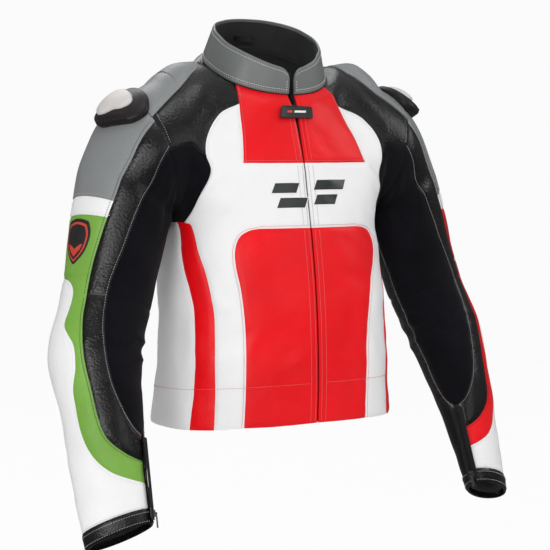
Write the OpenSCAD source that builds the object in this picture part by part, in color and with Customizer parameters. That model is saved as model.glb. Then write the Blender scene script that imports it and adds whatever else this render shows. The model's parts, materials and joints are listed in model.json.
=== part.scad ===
// Leather riding jacket: sewn panels, sleeves on shoulder and elbow joints, front and cuff zips.
// The front faces -Y, the wearer's right is -X, and the origin is the centre of the neck base.

/* [Torso] */
// Thickness of the outer leather
leather = 2.4; // [2:0.2:2.8]
// Distance from the centre plane to each armhole seam
armhole_x = 165; // [163:1:166]
// Height of the armhole centres
armhole_z = -114; // [-117:1:-112]
// Radius of each armhole
armhole_r = 88; // [87:0.5:88.5]
// Height of the hem at the sides
hem_z = -510; // [-530:5:-505]

/* [Neck] */
// Half width of the neck opening
neck_rx = 96; // [92:1:98]
// Half depth of the neck opening
neck_ry = 80; // [78:1:82]
// Rise of the collar above its base
collar_h = 46; // [40:2:50]

/* [Front zip] */
// Radius of the arc that the front zip follows
zip_r = 1050; // [1040:10:1100]
// Width of the slider of the front zip
slider_w = 11; // [10:0.5:12]
// Length of the front zip's pull
pull_l = 18; // [16:1:20]

/* [Sleeves] */
// Radius of the ball that the sleeve head follows
head_r = 89.6; // [89.2:0.1:90]
// Clearance between a sleeve and the body beside it
joint_gap = 1.5; // [1:0.1:2]
// Radius of the stretch ball that closes the elbow
elbow_ball_r = 52; // [48:1:52.5]

/* [Shoulder cups] */
// Angle from the middle of a cup to the rim of its surround
cup_angle = 34; // [30:1:35]
// Thickness of the surround
cup_base_h = 6; // [4:0.5:8]
// Thickness of the hard cup
cup_h = 7; // [5:0.5:9]

/* [Hidden] */

// Half the gap left at a sewn seam between two panels, as an angle round the torso
seam_t = 0.45;

// ---- Points and skins ----

function unit(v) = v / norm(v);
function mix(a, b, k) = a + (b - a) * k;
function steps(a, b, n) = [for (i = [0:n]) a + (b - a) * i / n];
function signed_pow(v, e) = sign(v) * pow(abs(v), e);

// Smooth curve through rows of a table whose first column is the position
function row_of(tab, s) = max([for (k = [0:len(tab) - 2]) tab[k][0] <= s ? k : 0]);
function tail(row) = [for (k = [1:len(row) - 1]) row[k]];
function slope(tab, k) =
    let (a = max(k - 1, 0), b = min(k + 1, len(tab) - 1))
    (tail(tab[b]) - tail(tab[a])) / (tab[b][0] - tab[a][0]);
function curve(tab, s) =
    let (k = row_of(tab, s), d = tab[k + 1][0] - tab[k][0], u = (s - tab[k][0]) / d)
    tail(tab[k]) * (1 - 3 * u * u + 2 * u * u * u)
    + tail(tab[k + 1]) * (3 * u * u - 2 * u * u * u)
    + slope(tab, k) * d * (u - 2 * u * u + u * u * u)
    + slope(tab, k + 1) * d * (u * u * u - u * u);

// Closed skin between f(u, v) and the same surface moved inwards by thick.
// f runs so that its u direction crossed with its v direction points outwards.
module skin(f, us, vs, thick = leather, rise = 0) {
    e = 0.003;
    nu = len(us);
    nv = len(vs);
    normals = [for (v = vs) for (u = us) unit(cross(f(u + e, v) - f(u - e, v), f(u, v + e) - f(u, v - e)))];
    base = [for (v = vs) for (u = us) f(u, v)];
    n = nu * nv;
    points = concat(
        [for (k = [0:n - 1]) base[k] + normals[k] * rise],
        [for (k = [0:n - 1]) base[k] + normals[k] * (rise - thick)]);
    grid = [for (j = [0:nv - 2]) for (i = [0:nu - 2]) j * nu + i];
    faces = concat(
        [for (k = grid) [k, k + nu, k + nu + 1]],
        [for (k = grid) [k, k + nu + 1, k + 1]],
        [for (k = grid) [n + k, n + k + nu + 1, n + k + nu]],
        [for (k = grid) [n + k, n + k + 1, n + k + nu + 1]],
        [for (i = [0:nu - 2]) for (t = rim_faces(i, i + 1, n)) t],
        [for (i = [0:nu - 2]) for (t = rim_faces((nv - 1) * nu + i + 1, (nv - 1) * nu + i, n)) t],
        [for (j = [0:nv - 2]) for (t = rim_faces((j + 1) * nu, j * nu, n)) t],
        [for (j = [0:nv - 2]) for (t = rim_faces(j * nu + nu - 1, (j + 1) * nu + nu - 1, n)) t]);
    polyhedron(points, faces, convexity = 4);
}
function rim_faces(a, b, n) = [[a, b, b + n], [a, b + n, a + n]];

module on_right() { mirror([1, 0, 0]) children(); }

// ---- Torso: level slices, each a rounded rectangle ----

slice_power = 2.4;
zip_axis_y = zip_r - 160;
zip_axis_z = -430;
back_rows = [[-560, 125], [-430, 105], [-330, 108], [-230, 125], [-130, 130], [-60, 114], [0, 94], [60, 80]];
side_rows = [[-560, 188], [-500, 183], [-400, 174], [-330, 171], [-260, 168], [-205, armhole_x]];

function front_y(z) = zip_axis_y - sqrt(zip_r * zip_r - pow(z - zip_axis_z, 2));
function half_depth(z) = (lookup(z, back_rows) - front_y(z)) / 2;
function middle_y(z) = (lookup(z, back_rows) + front_y(z)) / 2;
function armhole_half(z) = sqrt(max(0, pow(armhole_r, 2) - pow(z - armhole_z, 2)));
function half_width(z) =
    z < armhole_z - armhole_r ? lookup(z, side_rows)
    : armhole_x / pow(1 - pow(armhole_half(z) / half_depth(z), slice_power), 1 / slice_power);

// t is -90 at the front, 0 at the left side and 90 at the back
function torso_pt(t, z) = [
    half_width(z) * signed_pow(cos(t), 2 / slice_power),
    middle_y(z) + half_depth(z) * signed_pow(sin(t), 2 / slice_power),
    z
];
function front_t(x, z) = -acos(pow(min(1, x / half_width(z)), slice_power / 2));
function front_pt(x, z) = torso_pt(front_t(x, z), z);
function back_pt(x, z) = torso_pt(-front_t(x, z), z);
function hem_at(t) = hem_z - 11 * sin(t);
function neck_pt(phi) =
    let (y = neck_ry * sin(phi) - 2)
    [neck_rx * cos(phi), y, 12 + y / 2];

// ---- Outlines of the front panels, on the left half ----

belly_top = -220;
yoke_bottom = -127;
placket = 6.5;
belly_rows = [[-505, 99], [-360, 102], [-300, 109], [-246, 114], [-230, 106], [-222, 92], [belly_top, 84]];
yoke_rows = [[yoke_bottom, 104], [-43, 84], [-11, 80]];
armhole_front_rows = [[-212, 160], [-205, 159], [-179, 153], [-137, 140], [-118, 144], [-99, 142],
    [-66, 124], [-44, 92]];
stripe_in_rows = [[-505, -39], [-401, -37], [-332, -36], [-303, -34], [-249, -26], [-212, -21]];
stripe_out_rows = [[-505, -24], [-353, -22], [-318, -20], [-275, -13], [-212, -9]];

function panel_outer_t(z) =
    z < -212 ? lookup(z, stripe_in_rows) : front_t(lookup(z, armhole_front_rows), z);
function panel_inner_t(z) =
    z < belly_top ? front_t(lookup(z, belly_rows), z)
    : z < yoke_bottom ? front_t(placket, z)
    : front_t(lookup(z, yoke_rows), z);

module torso_band(t_in, t_out, us, zs, thick = leather, rise = 0) {
    // v runs over the list positions, so that each row keeps its own height
    f = function(u, v)
        let (k = min(max(floor(v), 0), len(zs) - 2), z = mix(zs[k], zs[k + 1], v - k),
            zz = z < zs[0] + 20 ? z + hem_shift(zs[0], t_in(z), t_out(z), u) * (zs[0] + 20 - z) / 20 : z)
        torso_pt(mix(t_in(z), t_out(z), u), zz);
    skin(f, us, [for (k = [0:len(zs) - 1]) k], thick, rise);
}
// Only panels that start at the hem follow its slope
function hem_shift(z0, ta, tb, u) = z0 <= hem_z + 1 ? hem_at(mix(ta, tb, u)) - hem_z : 0;

module front_panel() {
    zs = [hem_z, hem_z + 20, -440, -400, -360, -320, -290, -262, -240, -226, belly_top - 0.5, belly_top + 0.5,
        -213.5, -211.5, -205, -190, -172, -150, -137, yoke_bottom - 0.5, yoke_bottom + 0.5, -112, -95, -78, -62, -48];
    color("white")
    torso_band(
        function(z) panel_inner_t(z) + seam_t, function(z) panel_outer_t(z) - seam_t,
        steps(0, 1, 6), zs);
}

module front_yoke() {
    f = function(u, v)
        let (low = front_pt(mix(placket, lookup(yoke_bottom, yoke_rows), u), yoke_bottom + 0.6),
            high = neck_pt(-86 + u * 52))
        mix(low, high, v);
    color("red") skin(f, steps(0.005, 0.985, 5), steps(0, 0.985, 3));
}

module belly_panel() {
    zs = [hem_z, hem_z + 20, -440, -380, -330, -290, -262, -246, -236, -228, belly_top - 1];
    color("red")
    torso_band(
        function(z) front_t(placket, z), function(z) front_t(lookup(z, belly_rows), z) - seam_t,
        steps(0, 1, 5), zs);
}

module side_stripe() {
    color("red")
    torso_band(
        function(z) lookup(z, stripe_in_rows) + seam_t, function(z) lookup(z, stripe_out_rows) - seam_t,
        steps(0, 1, 2), [hem_z, hem_z + 20, -440, -380, -330, -300, -270, -240, -214.2]);
}
module side_stripes() {
    side_stripe();
    on_right() side_stripe();
}

back_edge_t = 52;
module side_panel() {
    color("white")
    torso_band(
        function(z) lookup(z, stripe_out_rows) + seam_t, function(z) back_edge_t - seam_t,
        steps(0, 1, 6), [hem_z, hem_z + 20, -440, -380, -320, -265, -213]);
}

// Shoulder panel: straight lines from the armhole to a chain round the neck and the yokes
saddle = [
    front_pt(144, -118), front_pt(124, -66), front_pt(92, -44), neck_pt(-34), neck_pt(0), neck_pt(45),
    back_pt(100, -40), back_pt(130, -80), back_pt(146, -118)
];
saddle_angle = [[0, -3], [1, 22], [2, 42], [3, 55], [4, 90], [5, 125], [6, 140], [7, 160], [8, 183]];
function armhole_pt(a) = [armhole_x, -armhole_r * cos(a), armhole_z + armhole_r * sin(a)];
function saddle_edge(u) =
    let (k = min(max(floor(u), 0), 7))
    mix(saddle[k], saddle[k + 1], u - k);
function saddle_pt(u, v) = mix(armhole_pt(lookup(u, saddle_angle)), saddle_edge(u), v);

module shoulder_panel() {
    f = function(u, v) saddle_pt(u, v);
    color([0.12, 0.12, 0.13]) skin(f, steps(0.05, 7.95, 16), steps(0, 0.97, 4));
}

// Gusset of stretch cloth round the lower half of the armhole, from the back to the front
gusset_edge = [
    torso_pt(back_edge_t, -119), torso_pt(back_edge_t, -150), torso_pt(back_edge_t, -182),
    torso_pt(back_edge_t, -212), torso_pt(20, -212), torso_pt(-14, -212),
    front_pt(155, -180), front_pt(140, -138), front_pt(144, -119)
];
module underarm_gusset() {
    f = function(u, v)
        let (k = min(max(floor(u), 0), 7))
        mix(armhole_pt(-176.5 + u * 173 / 8), mix(gusset_edge[k], gusset_edge[k + 1], u - k), v);
    color([0.08, 0.08, 0.1]) skin(f, steps(0.05, 7.95, 16), steps(0, 0.93, 2));
}

// Grey patch over the shoulder, past the seam and on to the cup
patch_r = 93.2;
patch_rise = 3.4;
patch_half = [[-1, 1.2], [0, 1.15], [0.3, 1.05], [0.5, 0.8], [0.6, 0.35]];
patch_run = 46;
module shoulder_patch() {
    f = function(u, v)
        let (mid = 4.1, k = mid + lookup(v, patch_half) * u, a = lookup(k, saddle_angle),
            x = armhole_x - v * patch_run, r = sqrt(patch_r * patch_r - pow(x - head_x, 2)),
            p = [x, -r * cos(a), armhole_z + r * sin(a)])
        v >= 0 ? saddle_pt(k, v) + [0, -patch_rise * cos(a), patch_rise * sin(a)]
        : mix(p, saddle_pt(k, 0) + [0, -patch_rise * cos(a), patch_rise * sin(a)], max(0, 1 + v * 6));
    color([0.5, 0.53, 0.55]) skin(f, steps(-1, 1, 6), [-0.72, -0.5, -0.3, -0.16, 0, 0.15, 0.3, 0.42, 0.5, 0.58], 2);
}

// Shoulder cup: turned solids about a line through the centre of the sleeve head
head_x = armhole_x + 19;
cup_tilt = 43;
cup_turn = 8;
module at_cup() {
    translate([head_x, 0, armhole_z]) rotate([0, 0, -cup_turn]) rotate([0, cup_tilt, 0]) children();
}
module cap_ring(r_in, r_out, angle_in, angle_out) {
    points = concat(
        [for (a = steps(90 - angle_in, 90 - angle_out, 8)) [r_out * cos(a), r_out * sin(a)]],
        [for (a = steps(90 - angle_out, 90 - angle_in, 8)) [r_in * cos(a), r_in * sin(a)]]);
    rotate_extrude($fn = 64) polygon(points);
}
cup_floor = head_r + 2.6;
module shoulder_cup_base() {
    color([0.15, 0.15, 0.16]) at_cup() cap_ring(cup_floor, cup_floor + cup_base_h, 0.05, cup_angle);
}
module shoulder_cup() {
    color([0.85, 0.83, 0.8])
    at_cup() cap_ring(cup_floor + cup_base_h + 0.2, cup_floor + cup_base_h + cup_h, 0.05, cup_angle - 13);
}

// ---- Back ----

back_top = -122;
module back_yoke() {
    f = function(u, v)
        let (x = mix(144, -144, u), low = back_pt_signed(x, back_top + 0.4), high = neck_pt(46 + u * 88),
            waist = back_pt_signed(mix(116, -116, u), -60))
        mix(mix(low, waist, min(1, v * 2)), high, max(0, v * 2 - 1));
    color([0.12, 0.12, 0.13]) skin(f, steps(0.03, 0.97, 8), [0.01, 0.25, 0.5, 0.75, 0.985]);
}
function back_pt_signed(x, z) =
    let (p = back_pt(abs(x), z))
    [x, p[1], p[2]];

module back_panel() {
    color("red")
    torso_band(
        function(z) back_edge_t + seam_t, function(z) 180 - back_edge_t - seam_t,
        steps(0, 1, 8), [-300, -265, -230, -195, -160, back_top]);
}
module back_lower_panel() {
    color("white")
    torso_band(
        function(z) back_edge_t + seam_t, function(z) 180 - back_edge_t - seam_t,
        steps(0, 1, 8), [hem_z, hem_z + 20, -440, -390, -340, -301]);
}

// ---- Collar ----

collar_gap = 3;
module collar_skin(inset, top, thick) {
    f = function(u, v)
        let (phi = -90 + collar_gap + u * (360 - 2 * collar_gap), base = neck_pt(phi),
            front_dip = 9 * pow(max(0, -sin(phi)), 6),
            lean = [-14 * cos(phi), -8 * sin(phi) - 8, top - front_dip])
        base + [-inset * cos(phi), -inset * sin(phi), 1] + lean * v;
    skin(f, steps(0, 1, 32), steps(0, 1, 2), thick);
}
module collar() { color([0.44, 0.48, 0.46]) collar_skin(0, collar_h, leather); }
module collar_lining() { color([0.1, 0.1, 0.1]) collar_skin(leather + 0.4, collar_h - 2, 1.6); }

// ---- Front zip, slider and pull: turned about the far axis of the front ----

module about_zip_axis(from_angle, angle) {
    translate([0, zip_axis_y, zip_axis_z]) rotate([0, 90, 0]) rotate([0, 0, -90 - from_angle - angle])
    rotate_extrude(angle = angle, $fn = 720) children();
}
zip_low = asin((hem_z + 14 - zip_axis_z) / zip_r);
zip_high = asin((-34 - zip_axis_z) / zip_r);
slider_angle = 1.1;
tooth_r = 1.3;
// Depth of the zip behind the face of the front
zip_sink = 6.6;
module zip_side() {
    translate([zip_r - 0.5, 3.2]) square([1, 12]);
    translate([zip_r - tooth_r, 0.8]) square([2 * tooth_r, 2.4]);
}
module front_zip() {
    // profile x is the radius and profile y becomes the jacket's width
    color([0.1, 0.1, 0.1]) about_zip_axis(zip_low, zip_high - zip_low) {
        translate([-zip_sink, 0]) zip_side();
        translate([-zip_sink, 0]) mirror([0, 1]) zip_side();
    }
}
slide_r = zip_r - zip_sink;
module slider_profile() {
    for (side = [0, 1]) mirror([0, side]) {
        translate([slide_r + 1.8, 0]) square([1.6, slider_w / 2]);
        translate([slide_r - 3.4, 0]) square([1.6, slider_w / 2]);
        translate([slide_r - 3.4, 0]) square([6.8, 0.35]);
        translate([slide_r + 1.0, slider_w / 2 - 1.2]) square([1.6, 1.2]);
    }
}
// Distance of the pull's pin from the far axis, and its angle about it
pin_r = zip_r + 3;
slider_mid = zip_high - 0.7;
pin_d = 1.7;
function on_front(r, angle) = [0, zip_axis_y - r * cos(angle), zip_axis_z + r * sin(angle)];
pin_at = on_front(pin_r, slider_mid);
// Frame at the pin: x across, y out of the front, z up along it
module at_pin() { translate(pin_at) rotate([-slider_mid, 0, 0]) mirror([0, 1, 0]) children(); }
module cross_rod(h, d) { rotate([0, 90, 0]) cylinder(h = h, d = d, center = true, $fn = 32); }
module zip_slider() {
    color([0.25, 0.25, 0.27]) {
        about_zip_axis(slider_mid - slider_angle / 2, slider_angle) slider_profile();
        at_pin() {
            cross_rod(post_w, 3.4);
            translate([-post_w / 2, -zip_sink - 0.6, -1.2]) cube([post_w, zip_sink + 0.4, 2.4]);
            cross_rod(pin_l, pin_d);
        }
    }
}
// Post of the slider that stands out through the slit, and the fork of the pull round it
post_w = 1.6;
pin_l = 7.2;
fork_gap = 2.4;
module zip_pull() {
    color([0.2, 0.2, 0.2]) at_pin() difference() {
        hull() {
            translate([0, 0.3, -pull_l]) cross_rod(pin_l - 1, 3);
            cross_rod(pin_l - 1, 3.2);
        }
        cross_rod(20, pin_d + 0.4);
        translate([-fork_gap / 2, -3, -2.6]) cube([fork_gap, 6, 6]);
    }
}

// Rubber badge on the pull, wide enough to cover the top of the zip
badge_t = 2.6;
badge_corners = [[-20, -5], [23, -5], [20.5, -17], [-23.5, -17]];
module neck_badge() {
    color([0.1, 0.1, 0.1]) at_pin() translate([0, 2.1, 0]) rotate([90, 0, 0]) mirror([0, 0, 1])
    linear_extrude(badge_t) hull() for (c = badge_corners) translate(c) circle(r = 3.5, $fn = 32);
}

// ---- Inside ----

module inner_band(t0, t1, us, zs, inset, thick) {
    torso_band(function(z) t0, function(z) t1, us, zs, thick, -inset);
}
module body_lining() {
    color([0.3, 0.3, 0.32])
    inner_band(-84, 264, steps(0, 1, 30), [hem_z + 24, -420, -350, -280, -214], leather + 5, 1.2);
}
module back_protector() {
    color([0.35, 0.5, 0.7]) inner_band(64, 116, steps(0, 1, 6), [-430, -360, -290, -220, -150, -100], 10, 9);
}
module waist_zip() {
    color([0.15, 0.15, 0.15]) inner_band(35, 145, steps(0, 1, 12), [hem_z + 14, hem_z + 23, hem_z + 32],
        leather + 1.3, 1.4);
}
// Strap sewn to the inside of the collar, standing off it for a hook
loop_r = 15;
loop_at = [0, neck_pt(90)[1] - 11.5, neck_pt(90)[2] + 14];
module hanger_loop() {
    color([0.1, 0.1, 0.1]) translate(loop_at) rotate([20, 0, 0]) rotate([0, 0, 180])
    rotate_extrude(angle = 180, $fn = 48) translate([loop_r, 0]) square([2, 8], center = true);
}

// ---- Sleeves: rings along a curved line, 0 is inner front, -90 outer front, 180 outer back ----

// position, centre x y z, half axes, ring direction x y z
arm_rows = [
    [45, 223, 0, -153, 71, 71, 0.71, 0, -0.71],
    [90, 238, -10, -190, 76, 68, 0.48, -0.12, -0.87],
    [162, 256, -20, -260, 67, 60, 0.28, -0.15, -0.95],
    [236, 276, -32, -330, 64, 57, 0.27, -0.22, -0.94],
    [303, 298, -48, -391, 66, 56, 0.18, -0.33, -0.92],
    [390, 304, -84, -470, 57, 45, 0.05, -0.38, -0.92],
    [476, 309, -116, -550, 52, 33, 0.03, -0.38, -0.92],
    [553, 309, -146, -622, 47, 23, 0, -0.38, -0.92]
];
elbow_s = 303;
cuff_s = 553;
cuff_depth = 20;
across = [-0.866, -0.5, 0];

// Rings of the sleeve head are cuts of one ball, so that they turn freely in the armhole
seat_angle = asin((armhole_x + joint_gap - head_x) / head_r);
function head_row(s) =
    let (k = s / 45, lean = 45 * k, h = head_r * sin(lean + mix(seat_angle, -7, k)),
        r = head_r * cos(lean + mix(seat_angle, -7, k)), n = [cos(lean), 0, -sin(lean)])
    concat([head_x + h * n[0], 0, armhole_z + h * n[2], r, r], n);
function arm_row(s) = s <= 45 ? head_row(s) : curve(arm_rows, s);
function arm_pt(a, s) =
    let (w = arm_row(s), n = unit([w[5], w[6], w[7]]), m = unit(across - n * (across * n)), q = cross(n, m))
    [w[0], w[1], w[2]] + m * (w[3] * cos(a)) + q * (w[4] * sin(a));

elbow_row = arm_row(elbow_s);
elbow_at = [elbow_row[0], elbow_row[1], elbow_row[2]];

// Cut that a point of the elbow ring needs, from how far it lies in front of the pivot
function elbow_cut(a) =
    let (d = elbow_at[1] - arm_pt(a, elbow_s)[1])
    joint_gap / 2 + (d > 0 ? d * tan(22) : -d * tan(9));

// Panel between two edges; each edge is a list of [position, angle]
module sleeve_band(edge_a, edge_b, s0, s1, nu, nv, thick = leather, rise = 0) {
    f = function(u, v)
        let (s_mid = mix(s0, s1, v), a = mix(lookup(s_mid, edge_a), lookup(s_mid, edge_b), u),
            top = s0 == elbow_s ? s0 + elbow_cut(a) : s0,
            low = s1 == elbow_s ? s1 - elbow_cut(a) : s1)
        arm_pt(a, mix(top, low, v));
    skin(f, steps(0.02, 0.98, nu), steps(0, 1, nv), thick, rise);
}

strip_front = [[0, -54], [67, -65], [139, -74], [214, -82], [254, -80], [elbow_s, -72], [367, -65], [404, -50],
    [430, -32]];
strip_back = [[0, -92], [98, -92], [151, -103], [188, -108], [253, -108], [elbow_s, -101], [349, -98],
    [402, -94], [432, -86], [453, -70], [466, -32]];
band_back = [[118, -150], [208, -150], [222, -130], [276, -130], [elbow_s, -112], [332, -112], [369, -126],
    [417, -122], [465, -106], [483, -78], [496, -32]];
outer_back = [[0, -180], [cuff_s, -180]];
stretch_back = [[0, 20], [cuff_s, 20]];

// The arm's back runs on from the outer edge by going round to 180
module sleeve_head() {
    color([0.5, 0.53, 0.55]) sleeve_band(outer_back, strip_back, 0, 96, 6, 8);
}
module arm_panel(band_color) {
    color(band_color) sleeve_band(outer_back, strip_back, 97, elbow_s, 5, 6);
}
module arm_strip() {
    color([0.12, 0.12, 0.13]) sleeve_band(strip_back, strip_front, 0, elbow_s, 2, 12);
}
module arm_stretch() {
    color([0.08, 0.08, 0.1]) sleeve_band(strip_front, stretch_back, 0, elbow_s, 5, 12);
}
module arm_back() {
    full = [[0, 180], [cuff_s, 180]];
    color([0.13, 0.13, 0.14]) sleeve_band(stretch_back, full, 0, elbow_s, 8, 12);
}

module forearm_stretch() {
    color([0.08, 0.08, 0.1]) sleeve_band(strip_back, [[elbow_s, 20], [390, 20], [430, -28], [cuff_s, -28]],
        elbow_s, 430, 6, 6);
}
module forearm_band(band_color) {
    // wraps round the end of the black part, down to the zip
    lower = [[elbow_s, -101], [349, -98], [402, -94], [429, -86], [431, -28], [cuff_s, -28]];
    color(band_color) sleeve_band(band_back, lower, elbow_s, 480, 4, 9);
}
module forearm_panel() {
    lower = [[elbow_s, -113], [332, -113], [369, -127], [417, -123], [465, -107], [480, -90], [482, -28],
        [cuff_s, -28]];
    color("white") sleeve_band(outer_back, lower, elbow_s, cuff_s - cuff_depth, 5, 10);
}
module forearm_back() {
    full = [[0, 180], [cuff_s, 180]];
    inner = [[elbow_s, 20], [390, 20], [425, 3], [cuff_s, 3]];
    color([0.13, 0.13, 0.14]) sleeve_band(inner, full, elbow_s, cuff_s - cuff_depth, 8, 8);
}

// Stretch ball inside the elbow, a turned zone about the line of the sleeve
module elbow_gusset() {
    zone = 54;
    points = concat(
        [for (a = steps(-zone, zone, 12)) [elbow_ball_r * cos(a), elbow_ball_r * sin(a)]],
        [for (a = steps(zone, -zone, 12)) [(elbow_ball_r - 1.6) * cos(a), (elbow_ball_r - 1.6) * sin(a)]]);
    color([0.15, 0.15, 0.17]) translate(elbow_at) rotate([-20, -10, 0])
    rotate_extrude($fn = 48) polygon(points);
}

module cuff() {
    color([0.1, 0.1, 0.1])
    sleeve_band([[0, -356], [cuff_s, -356]], [[0, -28], [cuff_s, -28]], cuff_s - cuff_depth + 0.5, cuff_s, 24, 2,
        3.4, 1);
}

// Cuff zip: a straight run along the inner front of the forearm
zip_top_s = 436;
zip_end_s = 548;
zip_angle = -13;
zip_lift = 3.4;
function lifted(s) =
    let (p = arm_pt(zip_angle, s), c = arm_row(s))
    p + zip_lift * unit(p - [c[0], c[1], c[2]]);
cuff_zip_a = lifted(zip_top_s);
cuff_zip_b = lifted(zip_end_s);
cuff_zip_l = norm(cuff_zip_b - cuff_zip_a);
cuff_zip_y = unit(cuff_zip_b - cuff_zip_a);
cuff_zip_n = unit(arm_pt(zip_angle, 490) - [arm_row(490)[0], arm_row(490)[1], arm_row(490)[2]]);
cuff_zip_z = unit(cuff_zip_n - cuff_zip_y * (cuff_zip_n * cuff_zip_y));
cuff_zip_x = cross(cuff_zip_y, cuff_zip_z);
// Frame of the zip: x across, y along towards the hand, z away from the arm
module at_cuff_zip() {
    multmatrix([
        [cuff_zip_x[0], cuff_zip_y[0], cuff_zip_z[0], cuff_zip_a[0]],
        [cuff_zip_x[1], cuff_zip_y[1], cuff_zip_z[1], cuff_zip_a[1]],
        [cuff_zip_x[2], cuff_zip_y[2], cuff_zip_z[2], cuff_zip_a[2]]
    ]) children();
}
module cuff_zip() {
    color([0.1, 0.1, 0.1]) at_cuff_zip() for (side = [0, 1]) mirror([side, 0, 0]) {
        translate([2.2, 0, -0.4]) cube([6, cuff_zip_l, 0.8]);
        translate([0.5, 0, -1]) cube([1.8, cuff_zip_l, 2]);
    }
}
cuff_slider_l = 9;
cuff_slider_y = cuff_zip_l - cuff_slider_l - 4;
cuff_pin = [0, cuff_slider_y + 4.5, 4.4];
cuff_pull_l = 20;
module cuff_slider() {
    color([0.25, 0.25, 0.27]) at_cuff_zip() {
        for (z = [-2.6, 1.4]) translate([-4, cuff_slider_y, z]) cube([8, cuff_slider_l, 1.2]);
        translate([-0.15, cuff_slider_y, -2.6]) cube([0.3, cuff_slider_l, 5.2]);
        for (x = [-2.4, 1.6]) translate([x, cuff_slider_y + 3.7, 2.5]) cube([0.8, 1.6, 1.9]);
        translate(cuff_pin) cross_rod(4.8, 1.2);
        for (x = [-2, 2]) translate(cuff_pin + [x, 0, 0]) cross_rod(0.8, 2.2);
    }
}
module cuff_pull() {
    color([0.2, 0.2, 0.2]) at_cuff_zip() translate(cuff_pin) difference() {
        union() {
            translate([-1.2, 0, -0.7]) cube([2.4, 6, 1.4]);
            cross_rod(2.4, 2.6);
            translate([-2.4, 4, -0.7]) cube([4.8, cuff_pull_l - 4, 1.4]);
        }
        cross_rod(10, 1.6);
    }
}

on_right() front_panel();  // front_panel_right
front_panel();  // front_panel_left
on_right() front_yoke();  // front_yoke_right
front_yoke();  // front_yoke_left
on_right() belly_panel();  // belly_panel_right
belly_panel();  // belly_panel_left
side_stripes();
on_right() side_panel();  // side_panel_right
side_panel();  // side_panel_left
on_right() shoulder_panel();  // shoulder_panel_right
shoulder_panel();  // shoulder_panel_left
on_right() underarm_gusset();  // underarm_gusset_right
underarm_gusset();  // underarm_gusset_left
on_right() shoulder_patch();  // shoulder_patch_right
shoulder_patch();  // shoulder_patch_left
on_right() shoulder_cup_base();  // shoulder_cup_base_right
shoulder_cup_base();  // shoulder_cup_base_left
on_right() shoulder_cup();  // shoulder_cup_right
shoulder_cup();  // shoulder_cup_left
back_yoke();
back_panel();
back_lower_panel();
collar();
collar_lining();
front_zip();
zip_slider();
zip_pull();
neck_badge();
body_lining();
back_protector();
hanger_loop();
waist_zip();
on_right() sleeve_head();  // sleeve_head_right
sleeve_head();  // sleeve_head_left
on_right() arm_panel([0.45, 0.66, 0.26]);  // arm_panel_right
arm_panel("red");  // arm_panel_left
on_right() arm_strip();  // arm_strip_right
arm_strip();  // arm_strip_left
on_right() arm_stretch();  // arm_stretch_right
arm_stretch();  // arm_stretch_left
on_right() arm_back();  // arm_back_right
arm_back();  // arm_back_left
on_right() forearm_panel();  // forearm_panel_right
forearm_panel();  // forearm_panel_left
on_right() forearm_band([0.45, 0.66, 0.26]);  // forearm_band_right
forearm_band("red");  // forearm_band_left
on_right() forearm_stretch();  // forearm_stretch_right
forearm_stretch();  // forearm_stretch_left
on_right() forearm_back();  // forearm_back_right
forearm_back();  // forearm_back_left
on_right() elbow_gusset();  // elbow_gusset_right
elbow_gusset();  // elbow_gusset_left
on_right() cuff();  // cuff_right
cuff();  // cuff_left
on_right() cuff_zip();  // cuff_zip_right
cuff_zip();  // cuff_zip_left
on_right() cuff_slider();  // cuff_slider_right
cuff_slider();  // cuff_slider_left
on_right() cuff_pull();  // cuff_pull_right
cuff_pull();  // cuff_pull_left
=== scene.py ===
"""Looks of the leather riding jacket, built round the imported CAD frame.

Every leather panel is a thin closed shell. The torso panels lie on one smooth implicit body and the
sleeve panels on one swept sleeve, so that neighbours share their seams. Lengths are in millimetres
until a mesh is made. Left is +X. Every piece is drawn on the left and mirrored for the right; the
front's seam lines, the sleeve's colour, and the shoulder cup with its padding differ by side.
"""
import json
import math
from functools import partial

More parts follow.
